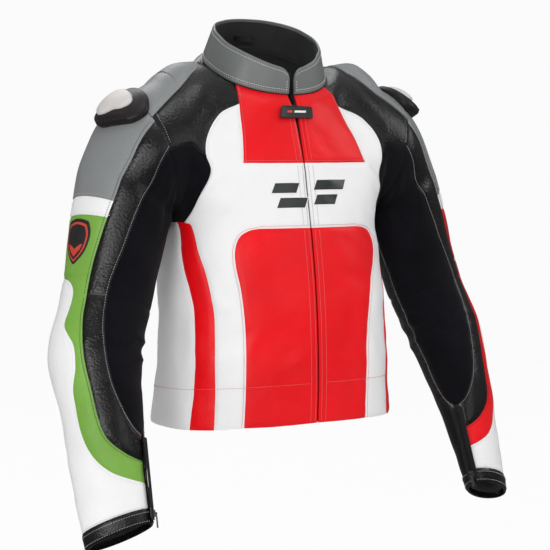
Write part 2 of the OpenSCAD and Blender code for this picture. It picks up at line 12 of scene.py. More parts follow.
import bpy
import numpy as np
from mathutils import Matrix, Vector

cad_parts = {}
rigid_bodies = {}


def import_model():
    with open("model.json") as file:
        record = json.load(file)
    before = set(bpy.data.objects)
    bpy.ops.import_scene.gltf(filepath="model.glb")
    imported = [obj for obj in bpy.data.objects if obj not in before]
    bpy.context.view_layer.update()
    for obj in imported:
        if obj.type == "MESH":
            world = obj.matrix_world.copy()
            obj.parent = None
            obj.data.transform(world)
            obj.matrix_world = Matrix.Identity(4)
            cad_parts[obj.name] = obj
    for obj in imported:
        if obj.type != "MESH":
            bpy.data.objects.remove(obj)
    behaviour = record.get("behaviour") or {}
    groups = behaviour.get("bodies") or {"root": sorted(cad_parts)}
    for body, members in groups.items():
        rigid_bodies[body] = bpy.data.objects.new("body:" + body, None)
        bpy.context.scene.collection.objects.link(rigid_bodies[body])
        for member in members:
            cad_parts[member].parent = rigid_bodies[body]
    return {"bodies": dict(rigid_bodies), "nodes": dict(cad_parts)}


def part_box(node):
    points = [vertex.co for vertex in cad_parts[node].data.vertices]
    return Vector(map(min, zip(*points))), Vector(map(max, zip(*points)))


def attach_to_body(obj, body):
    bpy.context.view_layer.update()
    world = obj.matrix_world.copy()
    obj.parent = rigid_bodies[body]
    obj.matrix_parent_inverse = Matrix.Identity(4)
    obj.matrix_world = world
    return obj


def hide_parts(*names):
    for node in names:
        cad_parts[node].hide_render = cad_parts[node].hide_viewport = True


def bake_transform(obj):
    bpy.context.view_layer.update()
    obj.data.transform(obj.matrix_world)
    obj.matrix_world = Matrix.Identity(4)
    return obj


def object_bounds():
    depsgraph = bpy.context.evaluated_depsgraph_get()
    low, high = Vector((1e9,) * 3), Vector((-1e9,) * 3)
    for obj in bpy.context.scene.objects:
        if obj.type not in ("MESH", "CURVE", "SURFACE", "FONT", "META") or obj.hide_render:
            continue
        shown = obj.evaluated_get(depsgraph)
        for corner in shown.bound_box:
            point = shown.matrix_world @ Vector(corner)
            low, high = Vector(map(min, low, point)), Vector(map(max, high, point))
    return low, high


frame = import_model()
cad_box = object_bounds()

MM = 0.001
SIDES = {"left": 1, "right": -1}
FACE = 4.6       # size of the faces of a panel
LEATHER = 2.2                           # thickness of a panel
EDGE_ROWS = np.array([0, 0.7, 2.2, 4.6])        # a panel's first rows of points, from its edge
SHORT = 14                              # a panel this short has evenly spaced rows instead

# ---------------------------------------------------------------- curves and tables


def ease(x):
    x = np.clip(x, 0, 1)
    return x * x * (3 - 2 * x)


def unit(v):
    return v / np.linalg.norm(v, axis=-1, keepdims=True)


def sin_of(degrees):
    return np.sin(np.radians(degrees))


def table(rows, x):
    """Smooth curve through rows of [position, value, ...]."""
    rows = np.asarray(rows, float)
    k, v = rows[:, 0], rows[:, 1:]
    slope = np.gradient(v, k, axis=0)
    x = np.clip(np.atleast_1d(x), k[0], k[-1])
    i = np.clip(np.searchsorted(k, x, side="right") - 1, 0, len(k) - 2)
    d = (k[i + 1] - k[i])[:, None]
    u = (x - k[i])[:, None] / d
    return (v[i] * (1 - 3 * u ** 2 + 2 * u ** 3) + v[i + 1] * (3 * u ** 2 - 2 * u ** 3)
            + slope[i] * d * (u - 2 * u ** 2 + u ** 3) + slope[i + 1] * d * (u ** 3 - u ** 2))


def lengths(p):
    return np.r_[0, np.cumsum(np.linalg.norm(np.diff(p, axis=0), axis=1))]


def along(p, t):
    """Points of the line p at the fractions t of its length."""
    s = lengths(p)
    return np.stack([np.interp(np.asarray(t) * s[-1], s, p[:, k]) for k in range(p.shape[1])], 1)


def outline(points, n=160):
    """Smooth line through a few points, as n evenly spaced ones."""
    p = np.asarray(points, float)
    k = np.r_[0, np.cumsum(np.linalg.norm(np.diff(p, axis=0), axis=1) ** 0.5)]
    return along(table(np.c_[k, p], np.linspace(0, k[-1], 40 * len(p))), np.linspace(0, 1, n))


def spaced(length, face=None):
    """Fractions of a length, closer together beside its two ends."""
    if length < SHORT:
        return np.linspace(0, 1, 5)
    edge = EDGE_ROWS / length
    n = max(1, round((length - 2 * EDGE_ROWS[-1]) / (face or FACE)))
    mid = np.linspace(edge[-1], 1 - edge[-1], n + 1)
    return np.unique(np.round(np.r_[edge, mid, 1 - edge], 9))


def cut(p, column, start, end):
    """The stretch of the line p over which a coordinate runs from start to end."""
    v = p[:, column]
    if v[0] > v[-1]:
        p, v = p[::-1], v[::-1]
    lo, hi = min(start, end), max(start, end)
    f = np.interp([lo, hi], v, lengths(p) / lengths(p)[-1])
    out = along(p, np.linspace(f[0], f[1], 120))
    return out if start < end else out[::-1]


def patch(a, b, low=None, high=None, rows=None, cols=None):
    """Grid between the lines a and b, whose first and last rows follow low and high."""
    if rows is None:
        rows = spaced(max(lengths(a)[-1], lengths(b)[-1]))
    if cols is None:
        cols = spaced(np.linalg.norm(a - b, axis=1).mean() if len(a) == len(b)
                      else np.linalg.norm(along(a, [0.5]) - along(b, [0.5])))
    pa, pb = along(a, rows), along(b, rows)
    u, v = cols[None, :, None], rows[:, None, None]
    grid = pa[:, None] * (1 - u) + pb[:, None] * u
    for line, k, w in ((low, 0, 1 - v), (high, -1, v)):
        if line is not None:
            grid = grid + w * (along(line, cols) - grid[k])[None]
    return grid


def ripple(p, size, seed):
    """Smooth noise of about +-1 with features of about that size."""
    rng = np.random.default_rng(seed)
    out = 0
    for _ in range(8):
        k = rng.normal(size=3)
        k *= rng.uniform(0.6, 1.5) * 2 * math.pi / size / np.linalg.norm(k)
        out = out + np.sin(p @ k + rng.uniform(0, 2 * math.pi))
    return out / 4


# ---------------------------------------------------------------- the body under the torso panels

ARMHOLE = np.array([165.0, 0.0, -104.0])
ARMHOLE_R, ARMHOLE_RZ = 88.0, 98.0      # half depth and half height of the armhole
NECK = (96.0, 80.0)                     # half width and half depth of the neck ring
NECK_Y, NECK_Z = -2.0, 12.0             # its middle; the ring rises to the back by half its depth
NECK_NORMAL = 1.118                     # length of the ring's normal (0, -1/2, 1)
POWER = 2.4                             # squareness of the torso's slices, where 2 is an ellipse
ZIP_R, ZIP_Y, ZIP_Z = 1050.0, 890.0, -430.0     # arc of the front zip, seen from the side
SHOULDER_X, SHOULDER_Y, SHOULDER_Z, SHOULDER_R = 70, 4, -50, 60     # start of the shoulder's tube
SHOULDER_ARCH = 48
BLEND = 25                              # rounding where barrel, neck and shoulder meet
HEM_Z, HEM_DIP = -510, 11               # height of the hem at the sides, and how far it falls to the back
# rows of height and of the back's y or the half width
BACK = [[-560, 125], [-430, 105], [-330, 108], [-230, 124], [-130, 129], [-60, 114], [0, 94], [60, 80]]
WIDTH = [[-560, 188], [-500, 183], [-400, 174], [-330, 171], [-260, 168], [-212, 166], [-190, 173],
         [-165, 186], [-140, 201], [-114, 212], [-90, 195], [-60, 150], [-30, 114], [0, 92], [60, 80]]


def smin(a, b, k):
    """The smaller of a and b, rounded over a width of k."""
    h = np.clip(0.5 + 0.5 * (b - a) / k, 0, 1)
    return b * (1 - h) + a * h - k * h * (1 - h)


def front_y(z):
    return ZIP_Y - np.sqrt(ZIP_R ** 2 - (z - ZIP_Z) ** 2)


def slice_of(z):
    """Half width, middle and half depth of the torso at a height."""
    z = np.clip(z, -560, 40)
    back, front = table(BACK, z)[:, 0], front_y(z)
    return table(WIDTH, z)[:, 0], (back + front) / 2, (back - front) / 2


def torso_field(p):
    """Negative inside the torso, positive outside, and roughly a distance in millimetres."""
    x, y, z = np.abs(p[:, 0]), p[:, 1], p[:, 2]
    w, mid, half = slice_of(z)
    r = ((x / w) ** POWER + (np.abs(y - mid) / half) ** POWER) ** (1 / POWER)
    barrel = (r - 1) * np.minimum(w, half)
    above = z - NECK_Z - y / 2
    grow = np.where(above < 0, np.minimum(-above, 90) * 0.0045, -above * 0.003)
    ring = np.sqrt((x / NECK[0]) ** 2 + ((y - NECK_Y) / NECK[1]) ** 2)
    neck = (ring - 1 - grow) * 86
    t = np.clip((x - SHOULDER_X) / (ARMHOLE[0] - SHOULDER_X), 0, 1)
    mid_z = SHOULDER_Z + (ARMHOLE[2] - SHOULDER_Z) * t + SHOULDER_ARCH * t * (1 - t)
    radius = SHOULDER_R + (ARMHOLE_R - SHOULDER_R) * t
    shoulder = np.hypot(y - SHOULDER_Y + SHOULDER_Y * t, (z - mid_z) * ARMHOLE_R / ARMHOLE_RZ) - radius
    return smin(smin(barrel, neck, BLEND), shoulder, BLEND)


def field_slope(p):
    e = 0.8
    return np.stack([torso_field(p + e * a) - torso_field(p - e * a) for a in np.eye(3)], 1) / (2 * e)


def onto_torso(p, rounds=4):
    for _ in range(rounds):
        g = field_slope(p)
        p = p - g * (torso_field(p) / (g * g).sum(1))[:, None]
    return p


def from_armhole(p):
    """Distance from the rim of the armhole."""
    radius = np.hypot(p[:, 1], (p[:, 2] - ARMHOLE[2]) * ARMHOLE_R / ARMHOLE_RZ)
    return np.hypot(np.abs(p[:, 0]) - ARMHOLE[0], radius - ARMHOLE_R)


def place_torso(rough):
    """Points on the torso and their outward directions. The armhole and neck rims stay put."""
    x, y, z = rough.T
    rim_width = 2 + 24 * ease((-74 - z) / 30)           # 2 mm on the upper armhole, 26 mm on the lower
    round_neck = np.abs(np.hypot(x, y * NECK[0] / NECK[1]) - NECK[0])
    neck = np.hypot((z - NECK_Z - y / 2) / NECK_NORMAL, np.maximum(0, round_neck - 2))
    free = ease(from_armhole(rough) / rim_width) * ease(neck / 18)
    p = rough + (onto_torso(rough) - rough) * free[:, None]
    n = unit(field_slope(p))
    rings = on_armhole(rough)
    n[rings] = armhole_out(p[rings])
    return p, n


def armhole_out(p):
    """Direction away from the armhole's middle, in which torso and sleeve pieces are thick at the rim."""
    return unit((p - ARMHOLE) * [0, 1, 1])


def torso_at(t, z):
    """Rough torso point at an angle: -90 front, 0 left side, 90 back."""
    w, mid, half = slice_of(np.atleast_1d(z))
    c, s = np.cos(np.radians(t)), np.sin(np.radians(t))
    return np.stack([w * np.sign(c) * abs(c) ** (2 / POWER), mid + half * np.sign(s) * abs(s) ** (2 / POWER),
                     np.broadcast_to(z, w.shape)], 1)


def facing(xz, sign):
    """Torso points with given x and z, on the front (sign -1) or the back (sign 1)."""
    x, z = np.asarray(xz, float).T
    w, mid, half = slice_of(z)
    inside = np.clip(1 - (np.abs(x) / w) ** POWER, 0.02, 1) ** (1 / POWER)
    y = mid + sign * half * inside
    for _ in range(5):
        y = onto_torso(np.stack([x, y, z], 1), 1)[:, 1]
    return np.stack([x, y, z], 1)


def front(points):
    return facing(outline(points), -1)


def armhole(start, end, n=80):
    """Stretch of the armhole rim: 0 is its front, 90 its top, -90 its bottom."""
    a = np.radians(np.linspace(start, end, n))
    return ARMHOLE + np.stack([0 * a, -ARMHOLE_R * np.cos(a), ARMHOLE_RZ * np.sin(a)], 1)


def neck_at(phi):
    """Points of the neck ring: 0 is its left, 90 its back, -90 its front."""
    a = np.radians(np.atleast_1d(phi))
    y = NECK[1] * np.sin(a) + NECK_Y
    return np.stack([NECK[0] * np.cos(a), y, NECK_Z + y / 2], 1)


def hem_z(t):
    return HEM_Z - HEM_DIP * sin_of(t)


def bell(x, middle, width):
    return np.exp(-((x - middle) / width) ** 2)


def torso_relief(_, p):
    """Soft undulations of the worn leather, in millimetres along the normal."""
    x, z = np.abs(p[:, 0]), p[:, 2]
    calm = ease((z + 560) / 60) * ease((x - 7) / 26)            # quiet at the hem and beside the zip
    armpit = bell(x, 150, 32) * bell(z, -150, 45)
    fold = np.sin((z + 0.9 * x) / 6.5 + 1.2 * ripple(p, 60, 5)) * armpit
    waist = bell(z, -330, 60) * np.sin(z / 11 + 2 * ripple(p, 90, 3)) * 0.5
    sag = bell(z, -400, 90) * np.sin((z * 0.55 + x) / 10.5 + 2.2 * ripple(p, 75, 8)) * ease(x / 40)
    soft = 1.1 * ripple(p, 120, 1) + 0.6 * ripple(p, 46, 2) + 0.2 * ripple(p, 20, 9) + waist + 0.6 * sag
    return (soft * calm + 1.6 * fold) * rim_calm(p)


def rim_calm(p):
    """0 on the armhole rim, where torso and sleeve pieces meet, and 1 from 30 mm away."""
    return ease(from_armhole(p) / 30)


# ---------------------------------------------------------------- the sleeve under the arm panels

PIVOT = np.array([184.0, 0.0, -114.0])          # middle of the shoulder joint
SLEEVE_END = 553.0
SLANT, SLANT_START, SLANT_SPAN, SLANT_TURN = 20, 455, 90, 160       # the cuff is longer at the back
# rows of position along the sleeve, centre, half axes and direction
ARM = [
    [0, 165, 0, -104, 88, 98, 1, 0, 0],
    [24, 206, 0, -125, 86, 86, 0.91, 0, -0.42],
    [45, 223, 0, -153, 78, 76, 0.71, 0, -0.71],
    [90, 238, -10, -190, 74, 68, 0.48, -0.12, -0.87],
    [162, 256, -20, -260, 67, 60, 0.28, -0.15, -0.95],
    [236, 276, -32, -330, 64, 57, 0.27, -0.22, -0.94],
    [303, 298, -48, -391, 66, 56, 0.18, -0.33, -0.92],
    [390, 304, -84, -470, 57, 45, 0.05, -0.38, -0.92],
    [476, 309, -116, -550, 52, 33, 0.03, -0.38, -0.92],
    [SLEEVE_END, 309, -146, -622, 47, 23, 0, -0.38, -0.92],
]
ACROSS = np.array([-0.866, -0.5, 0.0])          # direction of the slices' first half axis


def arm_at(s, a):
    """Sleeve surface: a is 0 inner front, -90 outer front, 180 outer back, 90 inner back."""
    row = table(ARM, s)
    n = unit(row[:, 5:8])
    m = unit(ACROSS - n * (n @ ACROSS)[:, None])
    q = np.cross(n, m)
    r = np.radians(a)[:, None]
    slant = SLANT * ease((s - SLANT_START) / SLANT_SPAN) * (1 + np.cos(np.radians(a - SLANT_TURN))) / 2
    return row[:, :3] + m * row[:, 3:4] * np.cos(r) + q * row[:, 4:5] * np.sin(r) + n * slant[:, None]


def arm_middle(s):
    return table(ARM, s)[:, :3]


def place_arm(q):
    """Points on the sleeve and their outward directions."""
    s, a = q[:, 0], q[:, 1]
    p = arm_at(s, a)
    ds = arm_at(np.minimum(s + 1, SLEEVE_END), a) - arm_at(np.maximum(s - 1, 0), a)
    da = arm_at(s, a + 1) - arm_at(s, a - 1)
    n = unit(np.cross(da, ds))
    n *= np.sign(((p - arm_middle(s)) * n).sum(1))[:, None]
    rings = on_armhole(q)
    n[rings] = armhole_out(p[rings])
    return p, n


def turn_gap(a, middle):
    """Angle from middle, between -180 and 180."""
    return (a - middle + 180) % 360 - 180


def arm_relief(q, p):
    """Sleeve folds: long ones down from the armpit, and rings on the inside of the elbow."""
    s, a = q[:, 0], q[:, 1]
    calm = ease(s / 40) * ease((SLEEVE_END - s) / 40)
    wob = ripple(p, 70, 11)
    pit = bell(s, 72, 45) * bell(turn_gap(a, -2), 0, 36)
    long_folds = np.sin(np.radians(a) * 13 + s / 38 + 1.6 * wob) * pit
    bend = bell(s, 300, 48) * bell(turn_gap(a, 5), 0, 75)
    rings = (1 - 2 * np.abs(np.sin((s + 0.22 * a) / 15 + 1.1 * wob)) ** 0.8) * bend
    wrist = bell(s, 470, 50) * np.sin((s - 0.3 * a) / 10 + wob) * 0.5
    return calm * (0.8 * ripple(p, 95, 12) + 0.3 * ripple(p, 38, 13) + 2.6 * long_folds + 2.4 * rings + wrist)


# ---------------------------------------------------------------- meshes

materials = {}


def weld(grids):
    """One mesh from grids of points that share their edges."""
    points, faces, base = [], [], 0
    for g in grids:
        m, n = g.shape[:2]
        k = np.arange(m * n).reshape(m, n) + base
        faces.append(np.stack([k[:-1, :-1], k[1:, :-1], k[1:, 1:], k[:-1, 1:]], -1).reshape(-1, 4))
        points.append(g.reshape(m * n, -1))
        base += m * n
    points, faces = np.concatenate(points), np.concatenate(faces)
    _, first, inverse = np.unique(np.round(points, 2), axis=0, return_index=True, return_inverse=True)
    faces = inverse.reshape(-1)[faces]
    clean = []
    for f in faces:
        g = [a for i, a in enumerate(f) if a != f[i - 1]]
        if len(set(g)) == len(g) >= 3:
            clean.append(g)
    return points[first], clean


def on_armhole(q):
    """True for points of the armhole rim, in torso or sleeve coordinates."""
    if q.shape[1] == 2:
        return q[:, 0] < 0.5
    return from_armhole(q) < 1.0


def rim_edges(faces):
    """Directed edges that belong to one face only."""
    seen = {}
    for f in faces:
        for i, a in enumerate(f):
            b = f[(i + 1) % len(f)]
            key = (min(a, b), max(a, b))
            seen[key] = None if key in seen else (a, b)
    return [e for e in seen.values() if e]


def edge_distance(p, edges):
    """Distance of every point from the nearest of the edges, reckoned for 400 points at a time."""
    a, b = p[[e[0] for e in edges]], p[[e[1] for e in edges]]
    d = b - a
    dd = (d * d).sum(1) + 1e-9
    out = np.empty(len(p))
    for k in range(0, len(p), 400):
        q = p[k:k + 400, None]
        t = np.clip(((q - a) * d).sum(2) / dd, 0, 1)
        out[k:k + 400] = np.linalg.norm(q - a - t[..., None] * d, axis=2).min(1)
    return out


def mesh_object(name, points, faces, material, uv=None, sharp=50):
    """Blender object from points in millimetres. Edges sharper than so many degrees stay sharp."""
    mesh = bpy.data.meshes.new(name)
    mesh.from_pydata((np.asarray(points) * MM).tolist(), [], [list(map(int, f)) for f in faces])
    mesh.materials.append(materials[material])
    if uv is not None:
        loops = np.empty(len(mesh.loops), np.int32)
        mesh.loops.foreach_get("vertex_index", loops)
        mesh.uv_layers.new(name="UVMap").data.foreach_set("uv", (uv[loops] * MM).astype(np.float32).ravel())
    mesh.polygons.foreach_set("use_smooth", [True] * len(mesh.polygons))
    mesh.update()
    mesh.set_sharp_from_angle(angle=math.radians(sharp))
    mesh.validate()
    obj = bpy.data.objects.new(name, mesh)
    bpy.context.scene.collection.objects.link(obj)
    return obj


def shell(name, grids, place, relief, material, sign=1, lift=0.0, thick=LEATHER, seam=1.3, seam_w=5.5,
          level=None):
    """Thin closed sheet on a surface. It dips beside its edges, as a sewn panel does.

    level tells which points lie on an edge that stays level, because the same leather goes on there.
    """
    q, faces = weld(grids)
    p, n = place(q)
    corner = np.array([p[f[:3]] for f in faces])
    up = np.cross(corner[:, 1] - corner[:, 0], corner[:, 2] - corner[:, 0])
    mean = np.array([n[f].mean(0) for f in faces])
    faces = [f if (u * m).sum() > 0 else f[::-1] for f, u, m in zip(faces, up, mean)]
    edges = rim_edges(faces)
    flat = level(q) if level else np.zeros(len(q), bool)
    d = edge_distance(p, [e for e in edges if not (flat[e[0]] and flat[e[1]])])
    h = lift - seam * (1 - ease(d / seam_w))
    if relief:
        h = h + relief(q, p)
    flip = np.array([sign, 1, 1])
    outer, inner = (p + n * h[:, None]) * flip, (p + n * (h - thick)[:, None]) * flip
    k = len(p)
    rims = [[b, a, a + k, b + k] for a, b in edges]
    every = faces + [[i + k for i in f[::-1]] for f in faces] + rims
    if sign < 0:
        every = [f[::-1] for f in every]
    uv = q[:, ::-1] if place is place_arm else np.stack([p[:, 0] + p[:, 1], p[:, 2]], 1)
    return mesh_object(name, np.concatenate([outer, inner]), every, material, np.concatenate([uv, uv]))


# ---------------------------------------------------------------- stitches

threads = {}                    # (where it rides, material) -> rows of stitches
THREAD_SIDES = 6
THREAD_LIFT = 0.25              # how far the thread's middle lies above the leather


def stitch_row(key, material, p, n, pitch=3.6, length=2.6, radius=0.42, sign=1):
    """Adds thread stitches along a line of points with outward directions."""
    if len(p) < 2:
        return
    total = lengths(p)[-1]
    count = int(total / pitch)
    if count < 2:
        return
    t = (np.arange(count) + 0.5) / count
    centre, out = along(p, t), along(np.c_[p, n], t)[:, 3:]
    ahead = along(p, np.minimum(t + 0.5 / count, 1)) - along(p, np.maximum(t - 0.5 / count, 0))
    flip = np.array([sign, 1, 1])
    threads.setdefault((key, material), []).append((centre * flip, ahead * flip, out * flip, length, radius))


def build_threads():
    """One mesh of small spindle-shaped stitches for each thread and ride."""
    sides = THREAD_SIDES
    ring = [(math.cos(a), math.sin(a)) for a in np.arange(sides) * 2 * math.pi / sides]
    for (key, material), rows in threads.items():
        points, faces = [], []
        for centre, ahead, out, length, radius in rows:
            t = unit(ahead)
            n = unit(out - t * (out * t).sum(1)[:, None])
            b = np.cross(t, n)
            for c, tt, nn, bb in zip(centre, t, n, b):
                k = len(points)
                points.append(c - tt * length / 2 - nn * radius)
                for e in (-0.28, 0.28):
                    points.extend(c + tt * e * length + radius * (nn * x + bb * y) for x, y in ring)
                points.append(c + tt * length / 2 - nn * radius)
                first, second = k + 1, k + 1 + sides
                for i in range(sides):
                    j = (i + 1) % sides
                    faces.append([k, first + j, first + i])
                    faces.append([first + i, first + j, second + j, second + i])
                    faces.append([second + sides, second + i, second + j])
        obj = mesh_object("stitches_" + key + "_" + material, points, faces, material, sharp=80)
        finish_piece(obj, key, "zip_tape")


def seam_stitches(key, material, line, toward, place, relief, inset=3.2, sign=1, drop=0.35, pitch=3.6,
                  start=0.0, end=1.0):
    """Stitches beside a seam: line is the seam, and toward a line on the panel's far side."""
    t = np.linspace(start, end, max(8, int(lengths(line)[-1] / 5)))
    q = along(line, t)
    side = along(toward, t) - q
    tangent = np.gradient(q, axis=0)
    tangent /= np.linalg.norm(tangent, axis=1)[:, None] + 1e-9
    side -= tangent * (side * tangent).sum(1)[:, None]
    size = np.linalg.norm(side, axis=1)[:, None]
    q = q + side / (size + 1e-9) * np.minimum(inset, size * 0.45)
    p, n = place(q)
    h = relief(q, p) - drop + THREAD_LIFT
    stitch_row(key, material, p + n * h[:, None], n, pitch=pitch, sign=sign)


# ---------------------------------------------------------------- how pieces ride


def attach(obj, key):
    """key is a body, to which the piece is parented. Any other key, such as shoulder_SIDE or elbow_SIDE,
    leaves the piece unparented, with its placement baked into its mesh.
    """
    if key in frame["bodies"]:
        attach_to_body(obj, key)
        return
    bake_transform(obj)


def finish_piece(obj, key, slot, *nodes):
    """Parents the piece to its body, when key names one, and hides the CAD nodes that it stands for. slot is
    not used.
    """
    attach(obj, key)
    if nodes:
        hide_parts(*nodes)


# ---------------------------------------------------------------- materials


def node(tree, kind, inputs=None, **props):
    """Adds a shader node. An input is a number, a colour or another node's output."""
    n = tree.nodes.new(kind)
    for k, v in props.items():
        setattr(n, k, v)
    for k, v in (inputs or {}).items():
        if isinstance(v, bpy.types.NodeSocket):
            tree.links.new(v, n.inputs[k])
        else:
            n.inputs[k].default_value = v
    return n


def start_material(name, **fixed):
    """A material with only its main shader, whose constant values are set here."""
    mat = bpy.data.materials.new(name)
    mat.use_nodes = True
    tree = mat.node_tree
    shader = tree.nodes["Principled BSDF"]
    for k, v in fixed.items():
        shader.inputs[k.replace("_", " ")].default_value = v
    materials[name] = mat
    return tree, shader, node(tree, "ShaderNodeTexCoord").outputs["Object"]


def mix_colour(tree, factor, a, b):
    """Colour between a and b."""
    m = node(tree, "ShaderNodeMix", data_type="RGBA")
    tree.links.new(factor, m.inputs[0])
    m.inputs[6].default_value, m.inputs[7].default_value = (*a, 1), (*b, 1)
    return m.outputs[2]


def spread(tree, value, low, high):
    """Maps 0.3 to 0.7 of a noise on to the range from low to high."""
    return node(tree, "ShaderNodeMapRange", {"Value": value, "From Min": 0.3, "From Max": 0.7,
                                             "To Min": low, "To Max": high}).outputs[0]


def bumps(tree, layers):
    """Chain of bumps from (height output, strength, distance)."""
    normal = None
    for height, strength, distance in layers:
        inputs = {"Height": height, "Strength": strength, "Distance": distance}
        if normal:
            inputs["Normal"] = normal
        normal = node(tree, "ShaderNodeBump", inputs).outputs[0]
    return normal


def noise(tree, at, scale, detail, **more):
    inputs = {"Vector": at, "Scale": scale, "Detail": detail, **more}
    return node(tree, "ShaderNodeTexNoise", inputs).outputs[0]


def toned(tree, cloud, colour, tone):
    """The colour, a share of tone darker or lighter from place to place."""
    dark, light = ([min(1, c * k) for c in colour] for k in (1 - tone, 1 + tone))
    return mix_colour(tree, spread(tree, cloud, 0, 1), dark, light)


def leather(name, colour, rough, grain=520, depth=0.00022, coat=0.08, tone=0.10, wear=0.25, streak=0.5,
            shine=0.3):
    """Leather with pores in rounded cells: grain is how many there are in a metre, depth is in metres."""
    tree, shader, at = start_material(name, Coat_Weight=coat, Coat_Roughness=0.25, Specular_IOR_Level=shine)
    base = toned(tree, noise(tree, at, 9.0, 4.0), colour, tone)
    cells = node(tree, "ShaderNodeTexVoronoi", {"Vector": at, "Scale": float(grain), "Smoothness": 0.6},
                 feature="SMOOTH_F1").outputs[0]
    pores = noise(tree, at, grain * 2.2, 2.0)
    crease = noise(tree, at, 46.0, 5.0, Roughness=0.62)
    worn = mix_colour(tree, spread(tree, pores, 0, wear), (1, 1, 1), (0.55, 0.55, 0.55))
    shade = node(tree, "ShaderNodeMix", {0: 1.0}, data_type="RGBA", blend_type="MULTIPLY")
    tree.links.new(base, shade.inputs[6])
    tree.links.new(worn, shade.inputs[7])
    tree.links.new(shade.outputs[2], shader.inputs["Base Color"])
    gloss = noise(tree, at, 28.0, 3.0)
    tree.links.new(spread(tree, gloss, rough - 0.06, rough + 0.09), shader.inputs["Roughness"])
    tree.links.new(bumps(tree, [(crease, streak, 0.0012), (cells, 0.9, depth), (pores, 0.5, depth * 0.5)]),
                   shader.inputs["Normal"])


def cloth(name, colour, rough, rib, rib_depth, cross=0.0, sheen=0.08):
    """Knitted or woven cloth. Its ribs follow the mesh's own UV lengths, in metres."""
    tree, shader, at = start_material(name, Sheen_Weight=sheen, Sheen_Roughness=0.5, Specular_IOR_Level=0.06)
    uv = node(tree, "ShaderNodeUVMap", uv_map="UVMap").outputs[0]
    ribs = node(tree, "ShaderNodeTexWave", {"Vector": uv, "Scale": rib, "Distortion": 0.4, "Detail": 1.0},
                bands_direction="X").outputs["Fac"]
    weft = node(tree, "ShaderNodeTexWave", {"Vector": uv, "Scale": rib * 1.4, "Distortion": 0.4},
                bands_direction="Y").outputs["Fac"]
    fuzz, cloud = noise(tree, at, 900.0, 3.0), noise(tree, at, 14.0, 3.0)
    dark, light = ([c * k for c in colour] for k in (0.75, 1.3))
    tree.links.new(mix_colour(tree, spread(tree, cloud, 0, 1), dark, light), shader.inputs["Base Color"])
    tree.links.new(spread(tree, fuzz, rough - 0.05, rough + 0.08), shader.inputs["Roughness"])
    layers = [(cloud, 0.3, 0.001), (ribs, 0.8, rib_depth), (fuzz, 0.6, 0.0002)]
    if cross:
        layers.append((weft, cross, rib_depth))
    tree.links.new(bumps(tree, layers), shader.inputs["Normal"])


def hard(name, colour, rough, metal=0.0, grain=700.0, depth=0.00006, tone=0.06, coat=0.0):
    """Plastic, rubber, print, thread or metal."""
    tree, shader, at = start_material(name, Metallic=metal, Coat_Weight=coat, Coat_Roughness=0.2)
    cloud, speck = noise(tree, at, 16.0, 4.0), noise(tree, at, grain, 3.0)
    tree.links.new(toned(tree, cloud, colour, tone), shader.inputs["Base Color"])
    tree.links.new(spread(tree, cloud, rough - 0.05, rough + 0.07), shader.inputs["Roughness"])
    tree.links.new(bumps(tree, [(speck, 0.6, depth)]), shader.inputs["Normal"])


def make_materials():
    leather("white_leather", (0.84, 0.835, 0.84), 0.42, tone=0.03, wear=0.12, streak=0.35)
    leather("red_leather", (0.82, 0.003, 0.008), 0.38, tone=0.08, streak=0.45, shine=0.22, coat=0.05)
    leather("green_leather", (0.19, 0.40, 0.060), 0.42, tone=0.08, streak=0.35, shine=0.22)
    leather("black_leather", (0.0075, 0.0066, 0.0070), 0.27, grain=300, depth=0.00042, coat=0.06, tone=0.15,
            streak=0.0, shine=0.36)
    leather("grey_leather", (0.225, 0.235, 0.24), 0.44, tone=0.06, streak=0.3)
    leather("collar_leather", (0.155, 0.168, 0.162), 0.34, tone=0.08, coat=0.12, streak=0.4)
    leather("cup_surround", (0.016, 0.0135, 0.014), 0.40, grain=420, depth=0.0002, streak=0.3, shine=0.2)
    cloth("stretch_cloth", (0.0040, 0.0040, 0.0060), 0.8, 140.0, 0.00025, sheen=0.05)
    cloth("lining_cloth", (0.035, 0.035, 0.037), 0.85, 120.0, 0.0002, cross=0.8)
    cloth("zip_tape", (0.014, 0.014, 0.015), 0.78, 260.0, 0.00012, cross=0.8)
    cloth("foam", (0.10, 0.17, 0.30), 0.9, 60.0, 0.0002, cross=0.6)
    hard("cup_plastic", (0.60, 0.575, 0.555), 0.42, depth=0.00004, tone=0.04)
    hard("zip_metal", (0.035, 0.035, 0.038), 0.38, metal=0.6)
    hard("badge_rubber", (0.018, 0.018, 0.019), 0.5, depth=0.0001)
    hard("badge_ink", (0.75, 0.75, 0.75), 0.5)
    hard("badge_red", (0.60, 0.05, 0.02), 0.5)
    hard("emblem_print", (0.020, 0.026, 0.022), 0.36, depth=0.0001, coat=0.2)
    for thread, colour in (("white", (0.78, 0.78, 0.78)), ("grey", (0.36, 0.37, 0.38)),
                           ("red", (0.62, 0.16, 0.16)), ("black", (0.02, 0.02, 0.02))):
        hard("thread_" + thread, colour, 0.7, grain=1500.0)
    hard("floor_paint", (0.88, 0.88, 0.88), 0.8, depth=0.00003, tone=0.005)
    floor_glow(materials["floor_paint"].node_tree)


def floor_glow(tree):
    """The floor is a white glow to the camera, nearly dark to reflections, and paint to all other light."""
    paint = tree.nodes["Principled BSDF"]
    glow = node(tree, "ShaderNodeEmission", {"Strength": 1.0})
    dark = node(tree, "ShaderNodeEmission", {"Strength": 0.12})
    rays = node(tree, "ShaderNodeLightPath")
    seen = node(tree, "ShaderNodeMixShader", {0: rays.outputs["Is Glossy Ray"], 1: paint.outputs[0],
                                              2: dark.outputs[0]})
    bright = node(tree, "ShaderNodeMath", {0: rays.outputs["Is Camera Ray"], 1: 0.92}, operation="MULTIPLY")
    last = node(tree, "ShaderNodeMixShader", {0: bright.outputs[0], 1: seen.outputs[0], 2: glow.outputs[0]})
    tree.links.new(last.outputs[0], tree.nodes["Material Output"].inputs["Surface"])


# ---------------------------------------------------------------- outlines of the torso panels

